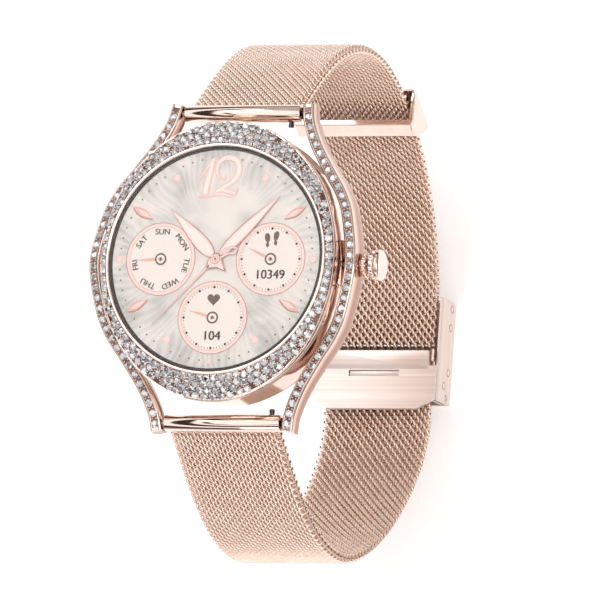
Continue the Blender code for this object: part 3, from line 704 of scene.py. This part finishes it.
def make_weave(name, side):
    """Milanese mesh: flattened coils across the strap, each half a pitch aside from the last."""
    line = np.array([tuple(p) for p in strap_line(side)])
    travelled = np.concatenate([[0], np.cumsum(np.linalg.norm(np.diff(line, axis=0), axis=1))])
    direction = np.gradient(line, travelled, axis=0)
    direction /= np.linalg.norm(direction, axis=1)[:, None]
    out = np.stack([-direction[:, 1], direction[:, 0]], 1) * side

    def on_line(s, table):
        return np.stack([np.interp(s, travelled, table[:, k]) for k in range(2)], -1)

    per_turn, sides = 8, 5
    half_along, half_deep = 0.66, 0.60
    turns = 15
    first_x = -(turns + 0.5) * COIL_PITCH / 2
    phase = np.arange(turns * per_turn + 1) * 2 * math.pi / per_turn
    rows = int((travelled[-1] - half_along) / COIL_ROW)
    ring = np.arange(sides) * 2 * math.pi / sides
    points = []
    for row in range(rows):
        shift = COIL_PITCH / 2 * (row % 2)
        x = first_x + shift + COIL_PITCH * phase / (2 * math.pi)
        radial = np.stack([np.cos(phase), np.sin(phase)], 1)
        deep = half_deep * np.sign(radial[:, 1]) * np.abs(radial[:, 1]) ** 0.7
        s = half_along + COIL_ROW * row + half_along * radial[:, 0] * side
        spot, normal = on_line(s, line), on_line(s, out)
        centre = np.column_stack([x, spot + normal * deep[:, None]])
        tangent = np.gradient(centre, axis=0)
        tangent /= np.linalg.norm(tangent, axis=1)[:, None]
        away = on_line(s, direction) * (radial[:, 0] * side)[:, None] + normal * radial[:, 1][:, None]
        first = np.column_stack([np.zeros(len(x)), away])
        first -= tangent * (first * tangent).sum(1)[:, None]
        first /= np.linalg.norm(first, axis=1)[:, None]
        second = np.cross(tangent, first)
        tube = centre[:, None] + WIRE_R * (
            first[:, None] * np.cos(ring)[None, :, None] + second[:, None] * np.sin(ring)[None, :, None]
        )
        points.append(tube)
    cores = []
    for row in range(rows):
        spot, normal = on_line(half_along + COIL_ROW * row, line), on_line(half_along + COIL_ROW * row, out)
        tip = -first_x - 0.1
        loop = [spot + 0.21 * (np.cos(a) * normal + np.sin(a) * np.array([-normal[1], normal[0]])) for a in ring]
        cores.append([[(x, *place) for place in loop] for x in (-tip, tip)])
    table = np.array(points)
    rows, stations = table.shape[:2]
    r, i, k = np.meshgrid(np.arange(rows), np.arange(stations - 1), np.arange(sides), indexing="ij")
    base = r * stations * sides
    k2 = (k + 1) % sides
    faces = np.stack([base + i * sides + k, base + i * sides + k2, base + (i + 1) * sides + k2, base + (i + 1) * sides + k], -1)
    mesh = bpy.data.meshes.new(name)
    core = np.array(cores).reshape(-1, 3)
    first_core = len(table.reshape(-1, 3))
    core_faces = []
    for row in range(rows):
        start = first_core + row * 2 * sides
        core_faces += [[start + k, start + (k + 1) % sides, start + sides + (k + 1) % sides, start + sides + k] for k in range(sides)]
    places = np.concatenate([table.reshape(-1, 3), core]) * MM
    mesh.from_pydata(places, [], faces.reshape(-1, 4).tolist() + core_faces)
    mesh.update()
    node = f"strap_mesh_{name.split('_')[-1]}"
    body = body_of(frame["nodes"][node])[0]
    return piece(name, mesh, WIRE, body, [node], 180)


def make_tube(name, side):
    """A polished end tube with a bore."""
    centre = (0, side * BAR_Y, BAR_Z)
    half, bore = TUBE_HALF, 0.85
    outline = [(bore, -half), (TUBE_R - 0.08, -half), (TUBE_R, -half + 0.08), (TUBE_R, half - 0.08)]
    outline += [(TUBE_R - 0.08, half), (bore, half), (bore, -half)]
    mesh = turned_mesh(f"tube_{name}", outline, centre, steps=64)
    body = f"strap_{name}"
    tube = piece(f"strap_tube_{name}_finish", mesh, POLISHED, body, [f"strap_tube_{name}"], 50)
    return tube


def make_release_pin(name, side):
    """The quick-release pin: a cup that takes the coil spring, a tip for the lug, and the thumb knob."""
    centre = (0, side * BAR_Y, BAR_Z)
    knob_x = sum(span(f"release_pin_{name}", 0)) / 2 - 0.15
    outline = [(0.0, 6.3), (0.65, 6.3), (0.65, 5.0), (0.78, 5.0), (0.78, 8.5), (0.42, 8.5), (0.42, 10.2), (0.3, 10.3)]
    shaft = turned_mesh(f"pin_{name}", outline + [(0.0, 10.3)], centre, steps=32)
    knob = [(0.02, 0.5), (0.36, 0.5), (0.36, 1.5), (0.42, 1.6), (0.42, 2.0), (0.34, 2.1), (0.02, 2.1)]
    grip = turned_mesh(f"knob_{name}", knob, (0, 0, 0), "Z", 24)
    turn = Matrix.Rotation(math.radians(90 * side), 4, "X")
    grip.transform(Matrix.Translation(Vector((knob_x, centre[1], centre[2])) * MM) @ turn)
    merged(f"release_pin_{name}_finish", [shaft, grip], DARK_STEEL, f"release_{name}", [f"release_pin_{name}"])


# Dial: thin printed shapes, each level a little above the last

def sheet(name, polygons, level, material):
    """One piece of flat closed shapes. A polygon is a list of (x, y) millimetres from the dial's centre."""
    bm = bmesh.new()
    z = DIAL_Z + level * PRINT
    for polygon in polygons:
        corners = [bm.verts.new(Vector((x, y, z)) * MM) for x, y in polygon]
        face = bm.faces.new(corners)
        if face.calc_area() == 0:
            continue
        face.normal_update()
        if face.normal.z < 0:
            face.normal_flip()
    thick = bmesh.ops.extrude_face_region(bm, geom=bm.faces[:])
    moved = [v for v in thick["geom"] if isinstance(v, bmesh.types.BMVert)]
    bmesh.ops.translate(bm, verts=moved, vec=(0, 0, PRINT * 0.6 * MM))
    bmesh.ops.recalc_face_normals(bm, faces=bm.faces)
    mesh = bpy.data.meshes.new(name)
    bm.to_mesh(mesh)
    bm.free()
    return piece(name, mesh, material, "case", smooth=None)


def disc(x, y, r, count=48):
    return [(x + r * math.cos(a), y + r * math.sin(a)) for a in np.arange(count) * 2 * math.pi / count]


def band(x, y, inner, outer, count=96):
    """A ring as a row of four-sided shapes."""
    found = []
    for i in range(count):
        a, b = 2 * math.pi * i / count, 2 * math.pi * (i + 1) / count
        corners = ((inner, a), (outer, a), (outer, b), (inner, b))
        found.append([(x + r * math.cos(t), y + r * math.sin(t)) for r, t in corners])
    return found


def ribbon(points, widths):
    """A stroke along points, whose width follows `widths`, as a row of four-sided shapes."""
    line = [Vector(p) for p in points]
    left, right = [], []
    for i, p in enumerate(line):
        along = (line[min(i + 1, len(line) - 1)] - line[max(i - 1, 0)]).normalized()
        across = Vector((-along.y, along.x))
        width = np.interp(i / (len(line) - 1), np.linspace(0, 1, len(widths)), widths) / 2
        left.append(tuple(p + across * width))
        right.append(tuple(p - across * width))
    return [[left[i], right[i], right[i + 1], left[i + 1]] for i in range(len(line) - 1)]


def leaf(start, end, width, fullest=0.3, shrink=0.0, count=28):
    """A leaf shape from start to end, fullest at a share of its length."""
    a, b = Vector(start), Vector(end)
    along = (b - a).normalized()
    across = Vector((-along.y, along.x))
    a, b = a + along * shrink, b - along * shrink * 3
    power = math.log(0.5) / math.log(fullest)
    spread = [(a.lerp(b, t), max(0.012, (width / 2 - shrink) * math.sin(math.pi * t**power))) for t in np.linspace(0, 1, count)]
    return [tuple(p + across * w) for p, w in spread] + [tuple(p - across * w) for p, w in reversed(spread)]


def smooth_path(points, count=10):
    """A smooth (x, y) path through the points."""
    line = [Vector(p) for p in points]
    line = [2 * line[0] - line[1], *line, 2 * line[-1] - line[-2]]
    found = []
    for a, b, c, d in zip(line, line[1:], line[2:], line[3:]):
        found += [tuple(p.to_2d()) for p in interpolate_bezier(b, b + (c - a) / 6, c - (d - b) / 6, c, count)[:-1]]
    return found + [tuple(line[-2])]


def words(name, items, level, material):
    """Printed text as one piece. An item is (text, x, y, height, turn in radians)."""
    meshes = []
    for text, x, y, height, turn in items:
        curve = bpy.data.curves.new(name, "FONT")
        curve.body = text
        curve.size = height * 1.42 * MM
        curve.align_x = "CENTER"
        curve.align_y = "CENTER"
        curve.extrude = PRINT * 0.3 * MM
        curve.resolution_u = 4
        holder = bpy.data.objects.new(name, curve)
        place = Vector((x, y, DIAL_Z + (level + 0.3) * PRINT)) * MM
        holder.matrix_world = Matrix.Translation(place) @ Matrix.Rotation(turn, 4, "Z")
        bpy.context.scene.collection.objects.link(holder)
        bpy.context.view_layer.update()
        mesh = bpy.data.meshes.new_from_object(holder.evaluated_get(bpy.context.evaluated_depsgraph_get()))
        mesh.transform(holder.matrix_world)
        bpy.data.objects.remove(holder, do_unlink=True)
        meshes.append(mesh)
        bolder = mesh.copy()
        bolder.transform(Matrix.Translation((0.07 * height * math.cos(turn) * MM, 0.07 * height * math.sin(turn) * MM, 0)))
        meshes.append(bolder)
    return merged(name, meshes, material, "case", smooth=None)


def hour_place(hour, radius):
    a = math.radians(90 - 30 * hour)
    return radius * math.cos(a), radius * math.sin(a)


SUBDIALS = {"left": (-8.7, 0.0), "right": (8.63, 0.0), "bottom": (0.08, -8.73)}
SUBDIAL_R = 5.4


def make_dial():
    """The lit dial image on its panel, under the cover glass."""
    steps = 128
    rows = [(DIAL_R, DIAL_Z - 0.8), (DIAL_R, DIAL_Z - 0.02), (DIAL_R - 0.02, DIAL_Z), (12.0, DIAL_Z), (0.02, DIAL_Z)]
    loops = [[(r * math.cos(a), r * math.sin(a), z) for a in np.arange(steps) * 2 * math.pi / steps] for r, z in rows]
    mesh = outward(grid_mesh("dial_pearl", loops))
    piece("dial_pearl", mesh, PEARL, "case", ["display_panel"], 30)
    sheet("dial_edge_ring", band(0, 0, 16.3, DIAL_R, 160), 2, DOT_BLACK)
    make_subdials()
    make_markers()
    make_numerals()
    make_hands()


def make_subdials():
    centres = SUBDIALS.values()
    sheet("subdial_halo", [s for x, y in centres for s in band(x, y, SUBDIAL_R - 0.04, SUBDIAL_R + 0.05)], 2.2, LINE_BROWN)
    sheet("subdial_rings", [s for x, y in centres for s in band(x, y, SUBDIAL_R - 0.50, SUBDIAL_R)], 1.5, PALE_PINK)
    sheet("subdial_lines", [s for x, y in centres for s in band(x, y, SUBDIAL_R - 0.56, SUBDIAL_R - 0.46)], 2, PINK)
    sheet("subdial_faces", [disc(x, y, SUBDIAL_R - 0.4, 64) for x, y in centres], 1.4, IVORY)
    dots, ticks = [], []
    for name in ("right", "bottom"):
        x, y = SUBDIALS[name]
        for i in range(60):
            a = math.radians(6 * i)
            u, v = math.cos(a), math.sin(a)
            if i % 5 == 0:
                dots.append(disc(x + 4.55 * u, y + 4.55 * v, 0.19, 16))
            else:
                ticks += ribbon([(x + 4.45 * u, y + 4.45 * v), (x + 4.70 * u, y + 4.70 * v)], [0.075, 0.075])
    sheet("subdial_dots", dots, 2.5, DOT_BLACK)
    sheet("subdial_ticks", ticks, 2.5, TEXT_BROWN)
    for name, angle in (("left", 183), ("right", 155), ("bottom", 164)):
        x, y = SUBDIALS[name]
        a = math.radians(angle)
        tip = (x + 4.1 * math.cos(a), y + 4.1 * math.sin(a))
        sheet(f"subdial_hand_{name}", [leaf((x, y), tip, 0.42, 0.35)], 3.5, PINK)
        sheet(f"subdial_hub_{name}", band(x, y, 0.66, 0.9, 48), 4.5, TEXT_BROWN)
        sheet(f"subdial_cap_{name}", [disc(x, y, 0.64)], 4.4, IVORY)
        sheet(f"subdial_pin_{name}", [disc(x, y, 0.3, 24)], 5.2, LINE_BROWN)
        sheet(f"subdial_pin_core_{name}", [disc(x, y, 0.13, 16)], 6.0, DOT_BLACK)
    x, y = SUBDIALS["left"]
    days = []
    for i, day in enumerate(("SUN", "MON", "TUE", "WED", "THU", "FRI", "SAT")):
        a = math.radians(90 - i * 360 / 7)
        days.append((day, x + 4.05 * math.cos(a), y + 4.05 * math.sin(a), 0.86, a - math.pi / 2))
    words("weekday_names", days, 2.5, TEXT_BROWN)
    right, bottom = SUBDIALS["right"], SUBDIALS["bottom"]
    counts = [("10349", right[0], right[1] - 2.35, 1.34, 0), ("104", bottom[0], bottom[1] - 2.75, 1.36, 0)]
    words("subdial_counts", counts, 2.5, TEXT_BROWN)
    icons = [[(bottom[0] + 0.062 * px, bottom[1] + 2.75 + 0.062 * py) for px, py in heart()]]
    for s, lift in ((-1, 0.0), (1, 0.28)):
        cx, cy = right[0] + 0.68 * s, right[1] + 2.95 + lift
        icons.append(egg(cx, cy + 0.2, 0.42, 0.72, 0.12 * s))
        icons.append(egg(cx - 0.05 * s, cy - 0.85, 0.26, 0.36, 0.0))
    sheet("subdial_icons", icons, 2.5, TEXT_BROWN)


def heart():
    found = []
    for t in np.arange(40) * 2 * math.pi / 40:
        found.append((16 * math.sin(t) ** 3, 13 * math.cos(t) - 5 * math.cos(2 * t) - 2 * math.cos(3 * t) - math.cos(4 * t)))
    return found


def egg(x, y, half_x, half_y, lean):
    """A rounded sole shape, a little narrower at its lower end."""
    found = []
    for t in np.arange(24) * math.pi / 12:
        u = half_x * math.cos(t) * (1 + 0.16 * math.sin(t))
        v = half_y * math.sin(t)
        found.append((x + u + lean * v, y + v))
    return found


def make_markers():
    """Minute dots, pearls and leaves round the dial."""
    dots = []
    for i in range(60):
        a = math.radians(6 * i)
        if i % 5:
            dots.append(disc(15.15 * math.cos(a), 15.15 * math.sin(a), 0.13, 12))
    sheet("minute_dots", dots, 1.4, TEXT_BROWN)
    bm = bmesh.new()
    for hour, radius, size in [(1, 14.0, 0.62), (11, 14.0, 0.62), (5, 13.9, 0.62), (7, 13.9, 0.62), (3, 15.2, 0.6), (9, 15.2, 0.6), (6, 15.3, 0.36)]:
        x, y = hour_place(hour, radius)
        place = Matrix.Translation(Vector((x, y, DIAL_Z + 0.02)) * MM) @ Matrix.Diagonal((1, 1, 0.28, 1))
        bmesh.ops.create_uvsphere(bm, u_segments=24, v_segments=12, radius=size * MM, matrix=place)
    mesh = bpy.data.meshes.new("marker_pearls")
    bm.to_mesh(mesh)
    bm.free()
    piece("marker_pearls", mesh, PALE_PINK, "case", smooth=180)
    shadows, leaves, lights = [], [], []
    for hour in (2, 4, 8, 10):
        start, end = hour_place(hour, 11.9), hour_place(hour, 15.7)
        side = Vector(end) - Vector(start)
        across = Vector((-side.y, side.x)).normalized() * 0.16
        low = -across if across.y > 0 else across
        shadows.append(leaf(Vector(start) + low, Vector(end) + low, 1.15, 0.55))
        leaves.append(leaf(start, end, 1.1, 0.55))
        lights.append(leaf(start, end, 1.1, 0.55, 0.26))
    sheet("marker_shadows", shadows, 1.4, LINE_BROWN)
    sheet("marker_leaves", leaves, 2.2, PINK)
    sheet("marker_lights", lights, 3.0, PALE_PINK)


def make_numerals():
    """A flowing 12 drawn as ribbons, each with a dark edge, a pink body and a light middle."""
    one_flag = smooth_path([(-3.5, 11.6), (-3.0, 12.6), (-2.2, 13.8), (-1.35, 14.9)])
    one_stem = smooth_path([(-1.3, 15.1), (-1.75, 13.2), (-2.15, 11.2), (-2.4, 9.6)])
    two_bowl = smooth_path(
        [(0.9, 12.4), (0.3, 11.95), (-0.45, 12.35), (-0.75, 13.4), (-0.35, 14.6), (0.8, 15.15), (2.1, 14.85),
         (2.75, 13.7), (2.5, 12.4), (1.6, 11.4), (0.2, 10.6), (-0.9, 9.9)]
    )
    base = smooth_path([(-3.5, 9.3), (-2.2, 9.28), (-0.9, 9.62), (0.3, 9.75), (1.4, 9.45), (2.2, 9.6), (2.75, 10.5)])
    body = smooth_path([(-0.9, 9.95), (0.4, 10.3), (1.5, 10.05), (2.3, 9.95), (2.7, 10.6)])
    strokes = [
        (one_flag, [0.1, 0.28, 0.45]), (one_stem, [0.4, 0.75, 0.9, 0.8]),
        (two_bowl, [0.15, 0.3, 0.5, 0.7, 0.85, 0.7, 0.35]), (base, [0.1, 0.22, 0.42, 0.3, 0.12]), (body, [0.1, 0.5, 0.6, 0.25, 0.1]),
    ]
    for name, grow, level, material in (
        ("numeral_edge", 0.16, 1.4, PINK), ("numeral_body", 0.0, 2.4, PALE_PINK), ("numeral_light", -0.26, 3.4, IVORY)
    ):
        shapes = []
        for i, (path, widths) in enumerate(strokes):
            wide = [max(0.03, w + grow) for w in widths]
            shapes.append((path, wide))
        for i, (path, wide) in enumerate(shapes):
            sheet(f"{name}_{i}", ribbon(path, wide), level + 0.05 * i, material)


def make_hands():
    """Leaf hands at about ten past ten, and a slim second hand. They are drawn on the display."""
    hands = {"hour": ((-0.4, 0.4), (-7.6, 7.5), 2.1, 0.28), "minute": ((0.4, 0.4), (9.64, 9.54), 1.7, 0.32)}
    for i, (name, (start, end, width, fullest)) in enumerate(hands.items()):
        lift = 7 + 3 * i
        sheet(f"{name}_hand_edge", [leaf(start, end, width + 0.2, fullest)], lift, LINE_BROWN)
        sheet(f"{name}_hand", [leaf(start, end, width, fullest, 0.05)], lift + 0.8, PALE_PINK)
        sheet(f"{name}_hand_inlay", [leaf(start, end, width, fullest, 0.32)], lift + 1.6, IVORY)
    tail = smooth_path([(0.5, 0.3), (1.4, 1.35), (2.6, 1.7), (3.3, 1.45), (2.9, 0.85), (1.9, 0.75), (0.9, 0.2)])
    sheet("second_hand_edge", ribbon([(-9.3, -9.7), (-0.9, -0.95)], [0.10, 0.34]), 13.5, LINE_BROWN)
    sheet("second_hand", ribbon([(-9.2, -9.6), (-0.9, -0.95)], [0.05, 0.24]), 14.3, PALE_PINK)
    sheet("second_hand_loop_edge", ribbon(tail, [0.34, 0.34]), 13.5, LINE_BROWN)
    sheet("second_hand_loop", ribbon(tail, [0.24, 0.24]), 14.3, PALE_PINK)
    points = [(-1.5, -1.6), (-1.2, -0.2), (-0.2, 0.95), (0.9, 0.75), (1.1, -0.3), (1.8, -2.0), (0.3, -1.35)]
    sheet("second_hand_collar_edge", [points], 13.4, LINE_BROWN)
    inner = [(x * 0.86, y * 0.86) for x, y in points]
    sheet("second_hand_collar", [inner], 14.3, PALE_PINK)
    sheet("hand_hub_edge", [disc(0, 0, 0.78)], 15.2, LINE_BROWN)
    sheet("hand_hub", [disc(0, 0, 0.68)], 16.0, PALE_PINK)
    sheet("hand_hub_ring", band(0, 0, 0.36, 0.44), 16.8, LINE_BROWN)
    sheet("hand_hub_pin", [disc(0, 0, 0.16, 20)], 16.8, DOT_BLACK)


def make_glass():
    """The cover glass: a thin lens with a rounded edge, over the dial."""
    r, top = GLASS_EDGE_R, GLASS_TOP
    outline = [(0.02, top - 0.12), (r - 0.05, top - 0.12), (r, top - 0.16), (r - 0.02, top - 0.08), (r - 0.1, top - 0.02)]
    outline += [(r - 0.2, top), (0.02, top)]
    mesh = turned_mesh("cover_glass", outline, (0, 0, 0), "Z", 128)
    piece("cover_glass", mesh, GLASS, "case", ["display_glass"], 30)


# Clasp details

def rounded_plate(name, x, y, z, corner=0.2):
    """A thin plate between two x, two y and two z places, with rounded corners and a soft top edge."""
    outline = []
    for i, (cx, cy) in enumerate(((x[1], y[1]), (x[0], y[1]), (x[0], y[0]), (x[1], y[0]))):
        inner_x = cx + (corner if cx == x[0] else -corner)
        inner_y = cy + (corner if cy == y[0] else -corner)
        for k in range(5):
            a = math.pi / 2 * (i + k / 4)
            outline.append((inner_x + corner * math.cos(a), inner_y + corner * math.sin(a)))
    centre = (sum(x) / 2, sum(y) / 2)
    loops = []
    for inset, height in ((0.0, z[0]), (0.0, z[1] - 0.06), (0.02, z[1] - 0.02), (0.06, z[1])):
        loop = []
        for px, py in outline:
            step_x = inset if px < centre[0] else -inset
            step_y = inset if py < centre[1] else -inset
            loop.append((px + step_x, py + step_y, height))
        loops.append(loop)
    return outward(grid_mesh(name, loops))


def make_clasp_details():
    """Rivet heads on the cover's flanks with dark rings of painted shade round them, the floor of the flap's slot, and
    the rod through the mesh's end.
    """
    slot = rounded_plate("flap_slot_floor", (-4.1, 3.8), (-5.42, -4.58), (6.2, 6.58))
    piece("flap_slot_floor", slot, BRUSHED, "flap")
    hood = rounded_plate("flap_hood", (-8.55, 8.55), (-4.4, -1.52), (6.2, span("clasp_flap", 2)[1] + 0.01), 0.3)
    piece("flap_hood", hood, BRUSHED, "flap")
    heads, shade_rims = [], []
    half = span("clasp_cover", 0)[1]
    for side in (-1, 1):
        for y, z in ((5.6, 1.7), (2.7, 1.9), (-4.1, 1.7), (-6.3, 3.2)):
            outline = [(0.02, 0.05), (0.30, 0.06), (0.42, 0.04), (0.50, 0.0), (0.50, -0.1), (0.02, -0.1)]
            heads.append(turned_mesh("rivet", [(r, side * (half + h)) for r, h in outline], (0, y, z), steps=24))
            # A dark ring round each rivet head: painted shade.
            edge = [(0.02, 0.012), (0.60, 0.012), (0.60, -0.1), (0.02, -0.1)]
            shade_rims.append(turned_mesh("rivet_shade_rim", [(r, side * (half + h)) for r, h in edge], (0, y, z), steps=24))
    merged("cover_rivets", heads, POLISHED, "cover")
    merged("cover_rivet_shade_rims", shade_rims, PAINTED_SHADE_METAL, "cover")
    rod = [(0.02, -8.55), (0.2, -8.55), (0.26, -8.48), (0.26, 8.48), (0.2, 8.55), (0.02, 8.55)]
    mesh = turned_mesh("strap_end_rod", rod, (0, -0.4, STRAP_REST_Z), steps=16)
    piece("strap_end_rod", mesh, STEEL, "strap_top", ["strap_end_bar"])


# Whole watch

def finish_cad_nodes():
    """Gives every CAD node that stays a procedural material, and bevels those with plain edges."""
    refined("clasp_cover", BRUSHED_SIDE, 0.12)
    refined("clasp_flap", BRUSHED, 0.12)
    for node in ("keeper_loop", "clasp_frame"):
        refined(node, POLISHED, 0.12)
    make_clasp_details()
    refined("case_middle", POLISHED, 0.0)
    refined("back_cover", BACK_METAL, 0.0)
    by_slot = {
        "polished_rose_gold": POLISHED, "rose_gold_mesh": WIRE, "brushed_pale_gold": BRUSHED, "clear_glass": GLASS,
        "display_cream": PEARL, "black_rubber": RUBBER, "black_plastic": BLACK, "steel": STEEL,
        "spring_steel": STEEL, "gold_contact": CONTACT, "green_board": BOARD, "battery_foil": FOIL,
    }
    slots = {row["node"]: row["material_slot"] for row in frame["record"]["subparts"]}
    for name, node in frame["nodes"].items():
        node.data.materials.clear()
        node.data.materials.append(by_slot[slots[name]])


def add_light(name, place, aim, size, power):
    lamp = bpy.data.lights.new(name, "AREA")
    lamp.shape = "RECTANGLE"
    lamp.size, lamp.size_y = size
    lamp.energy = power
    made = bpy.data.objects.new(name, lamp)
    made.location = place
    made.rotation_euler = (Vector(aim) - Vector(place)).to_track_quat("-Z", "Y").to_euler()
    bpy.context.scene.collection.objects.link(made)


def make_studio():
    """A pale floor with painted light: it glows white near the watch, which washes out the watch's cast shadow and
    lights the strap from below, and fades to dark grey further out as a painted falloff of light. Soft lamps, and a
    bright room with two dark bands for the metal to mirror.
    """
    bm = bmesh.new()
    bmesh.ops.create_grid(bm, x_segments=1, y_segments=1, size=3.0)
    mesh = bpy.data.meshes.new("floor")
    bm.to_mesh(mesh)
    bm.free()
    floor = bpy.data.objects.new("floor", mesh)
    floor.location.z = -0.0001
    bpy.context.scene.collection.objects.link(floor)
    material, tree, shader = new_material("floor")
    flat = add(tree, "ShaderNodeTexCoord").outputs["Object"]
    far = add(tree, "ShaderNodeVectorMath", [(0, flat)], operation="LENGTH").outputs["Value"]
    # Painted light: the floor is white and glowing near the watch and fades to dark grey by 0.42 m.
    painted_light_falloff = add(tree, "ShaderNodeMapRange", [("Value", far)], From_Min=0.20, From_Max=0.42).outputs["Result"]
    colour = ramp(tree, painted_light_falloff, (0.0, (0.96, 0.96, 0.96)), (1.0, (0.34, 0.30, 0.29)))
    tree.links.new(colour, shader.inputs["Base Color"])
    tree.links.new(colour, shader.inputs["Emission Color"])
    shader.inputs["Emission Strength"].default_value = 0.32
    shader.inputs["Roughness"].default_value = 0.9
    mesh.materials.append(material)

    world = bpy.data.worlds.new("studio")
    world.use_nodes = True
    tree = world.node_tree
    place = add(tree, "ShaderNodeTexCoord").outputs["Generated"]
    height = add(tree, "ShaderNodeSeparateXYZ", [("Vector", place)]).outputs["Z"]
    share = math_node(tree, "ADD", math_node(tree, "MULTIPLY", height, 0.5), 0.5)
    colour = ramp(
        tree, share,
        (0.0, (0.5, 0.48, 0.47)), (0.50, (0.05, 0.03, 0.025)), (0.625, (0.04, 0.025, 0.02)), (0.65, (0.98, 0.97, 0.96)),
        (0.735, (1.0, 1.0, 1.0)), (0.75, (0.04, 0.025, 0.02)), (0.845, (0.04, 0.025, 0.02)), (0.86, (1.0, 1.0, 1.0)),
        (0.895, (1.0, 1.0, 1.0)), (0.905, (0.16, 0.11, 0.10)), (0.925, (0.16, 0.11, 0.10)), (0.935, (1.0, 1.0, 1.0)),
    )
    background = tree.nodes["Background"]
    tree.links.new(colour, background.inputs["Color"])
    background.inputs["Strength"].default_value = 1.3
    bpy.context.scene.world = world
    add_light("key", (-0.22, 0.30, 0.60), (0, 0, 0.05), (0.45, 0.35), 1.0)
    add_light("fill", (0.45, -0.10, 0.40), (0, 0, 0.05), (0.30, 0.40), 0.6)
    add_light("low", (0.12, -0.50, 0.16), (0, 0, 0.03), (0.40, 0.25), 0.42)


def make_camera():
    """Looks at the watch from above its 4 o'clock side, with 12 o'clock towards the top of the picture."""
    right = Vector((0.931, 0.066, -0.359))
    up = Vector((0.0, 0.984, 0.181))
    back = right.cross(up).normalized()
    up = back.cross(right).normalized()
    target = Vector((13.9, -6.2, GLASS_TOP)) * MM
    view_width, lens, sensor = 87.85 * MM, 1200.0, 36.0
    data = bpy.data.cameras.new("camera")
    data.lens = lens
    data.sensor_width = sensor
    data.clip_start, data.clip_end = 0.01, 20
    camera = bpy.data.objects.new("camera", data)
    place = target + back * view_width * lens / sensor
    turn = Matrix((right, up, back)).transposed().to_4x4()
    camera.matrix_world = Matrix.Translation(place) @ turn
    bpy.context.scene.collection.objects.link(camera)
    bpy.context.scene.camera = camera


def make_watch():
    make_dial()
    finish_cad_nodes()
    make_bezel()
    seats, grains = bezel_seats()
    set_stones("bezel_stones", seats, "case")
    set_grains("bezel_grains", grains, 0.14, "case")
    make_lug_frame("lug_frame_right", 1)
    make_lug_frame("lug_frame_left", -1)
    make_crown()
    for name, side in (("top", 1), ("bottom", -1)):
        make_weave(f"weave_{name}", side)
        make_tube(name, side)
        make_release_pin(name, side)
    make_glass()


make_watch()
make_studio()
make_camera()
bpy.context.scene.view_settings.view_transform = "Standard"
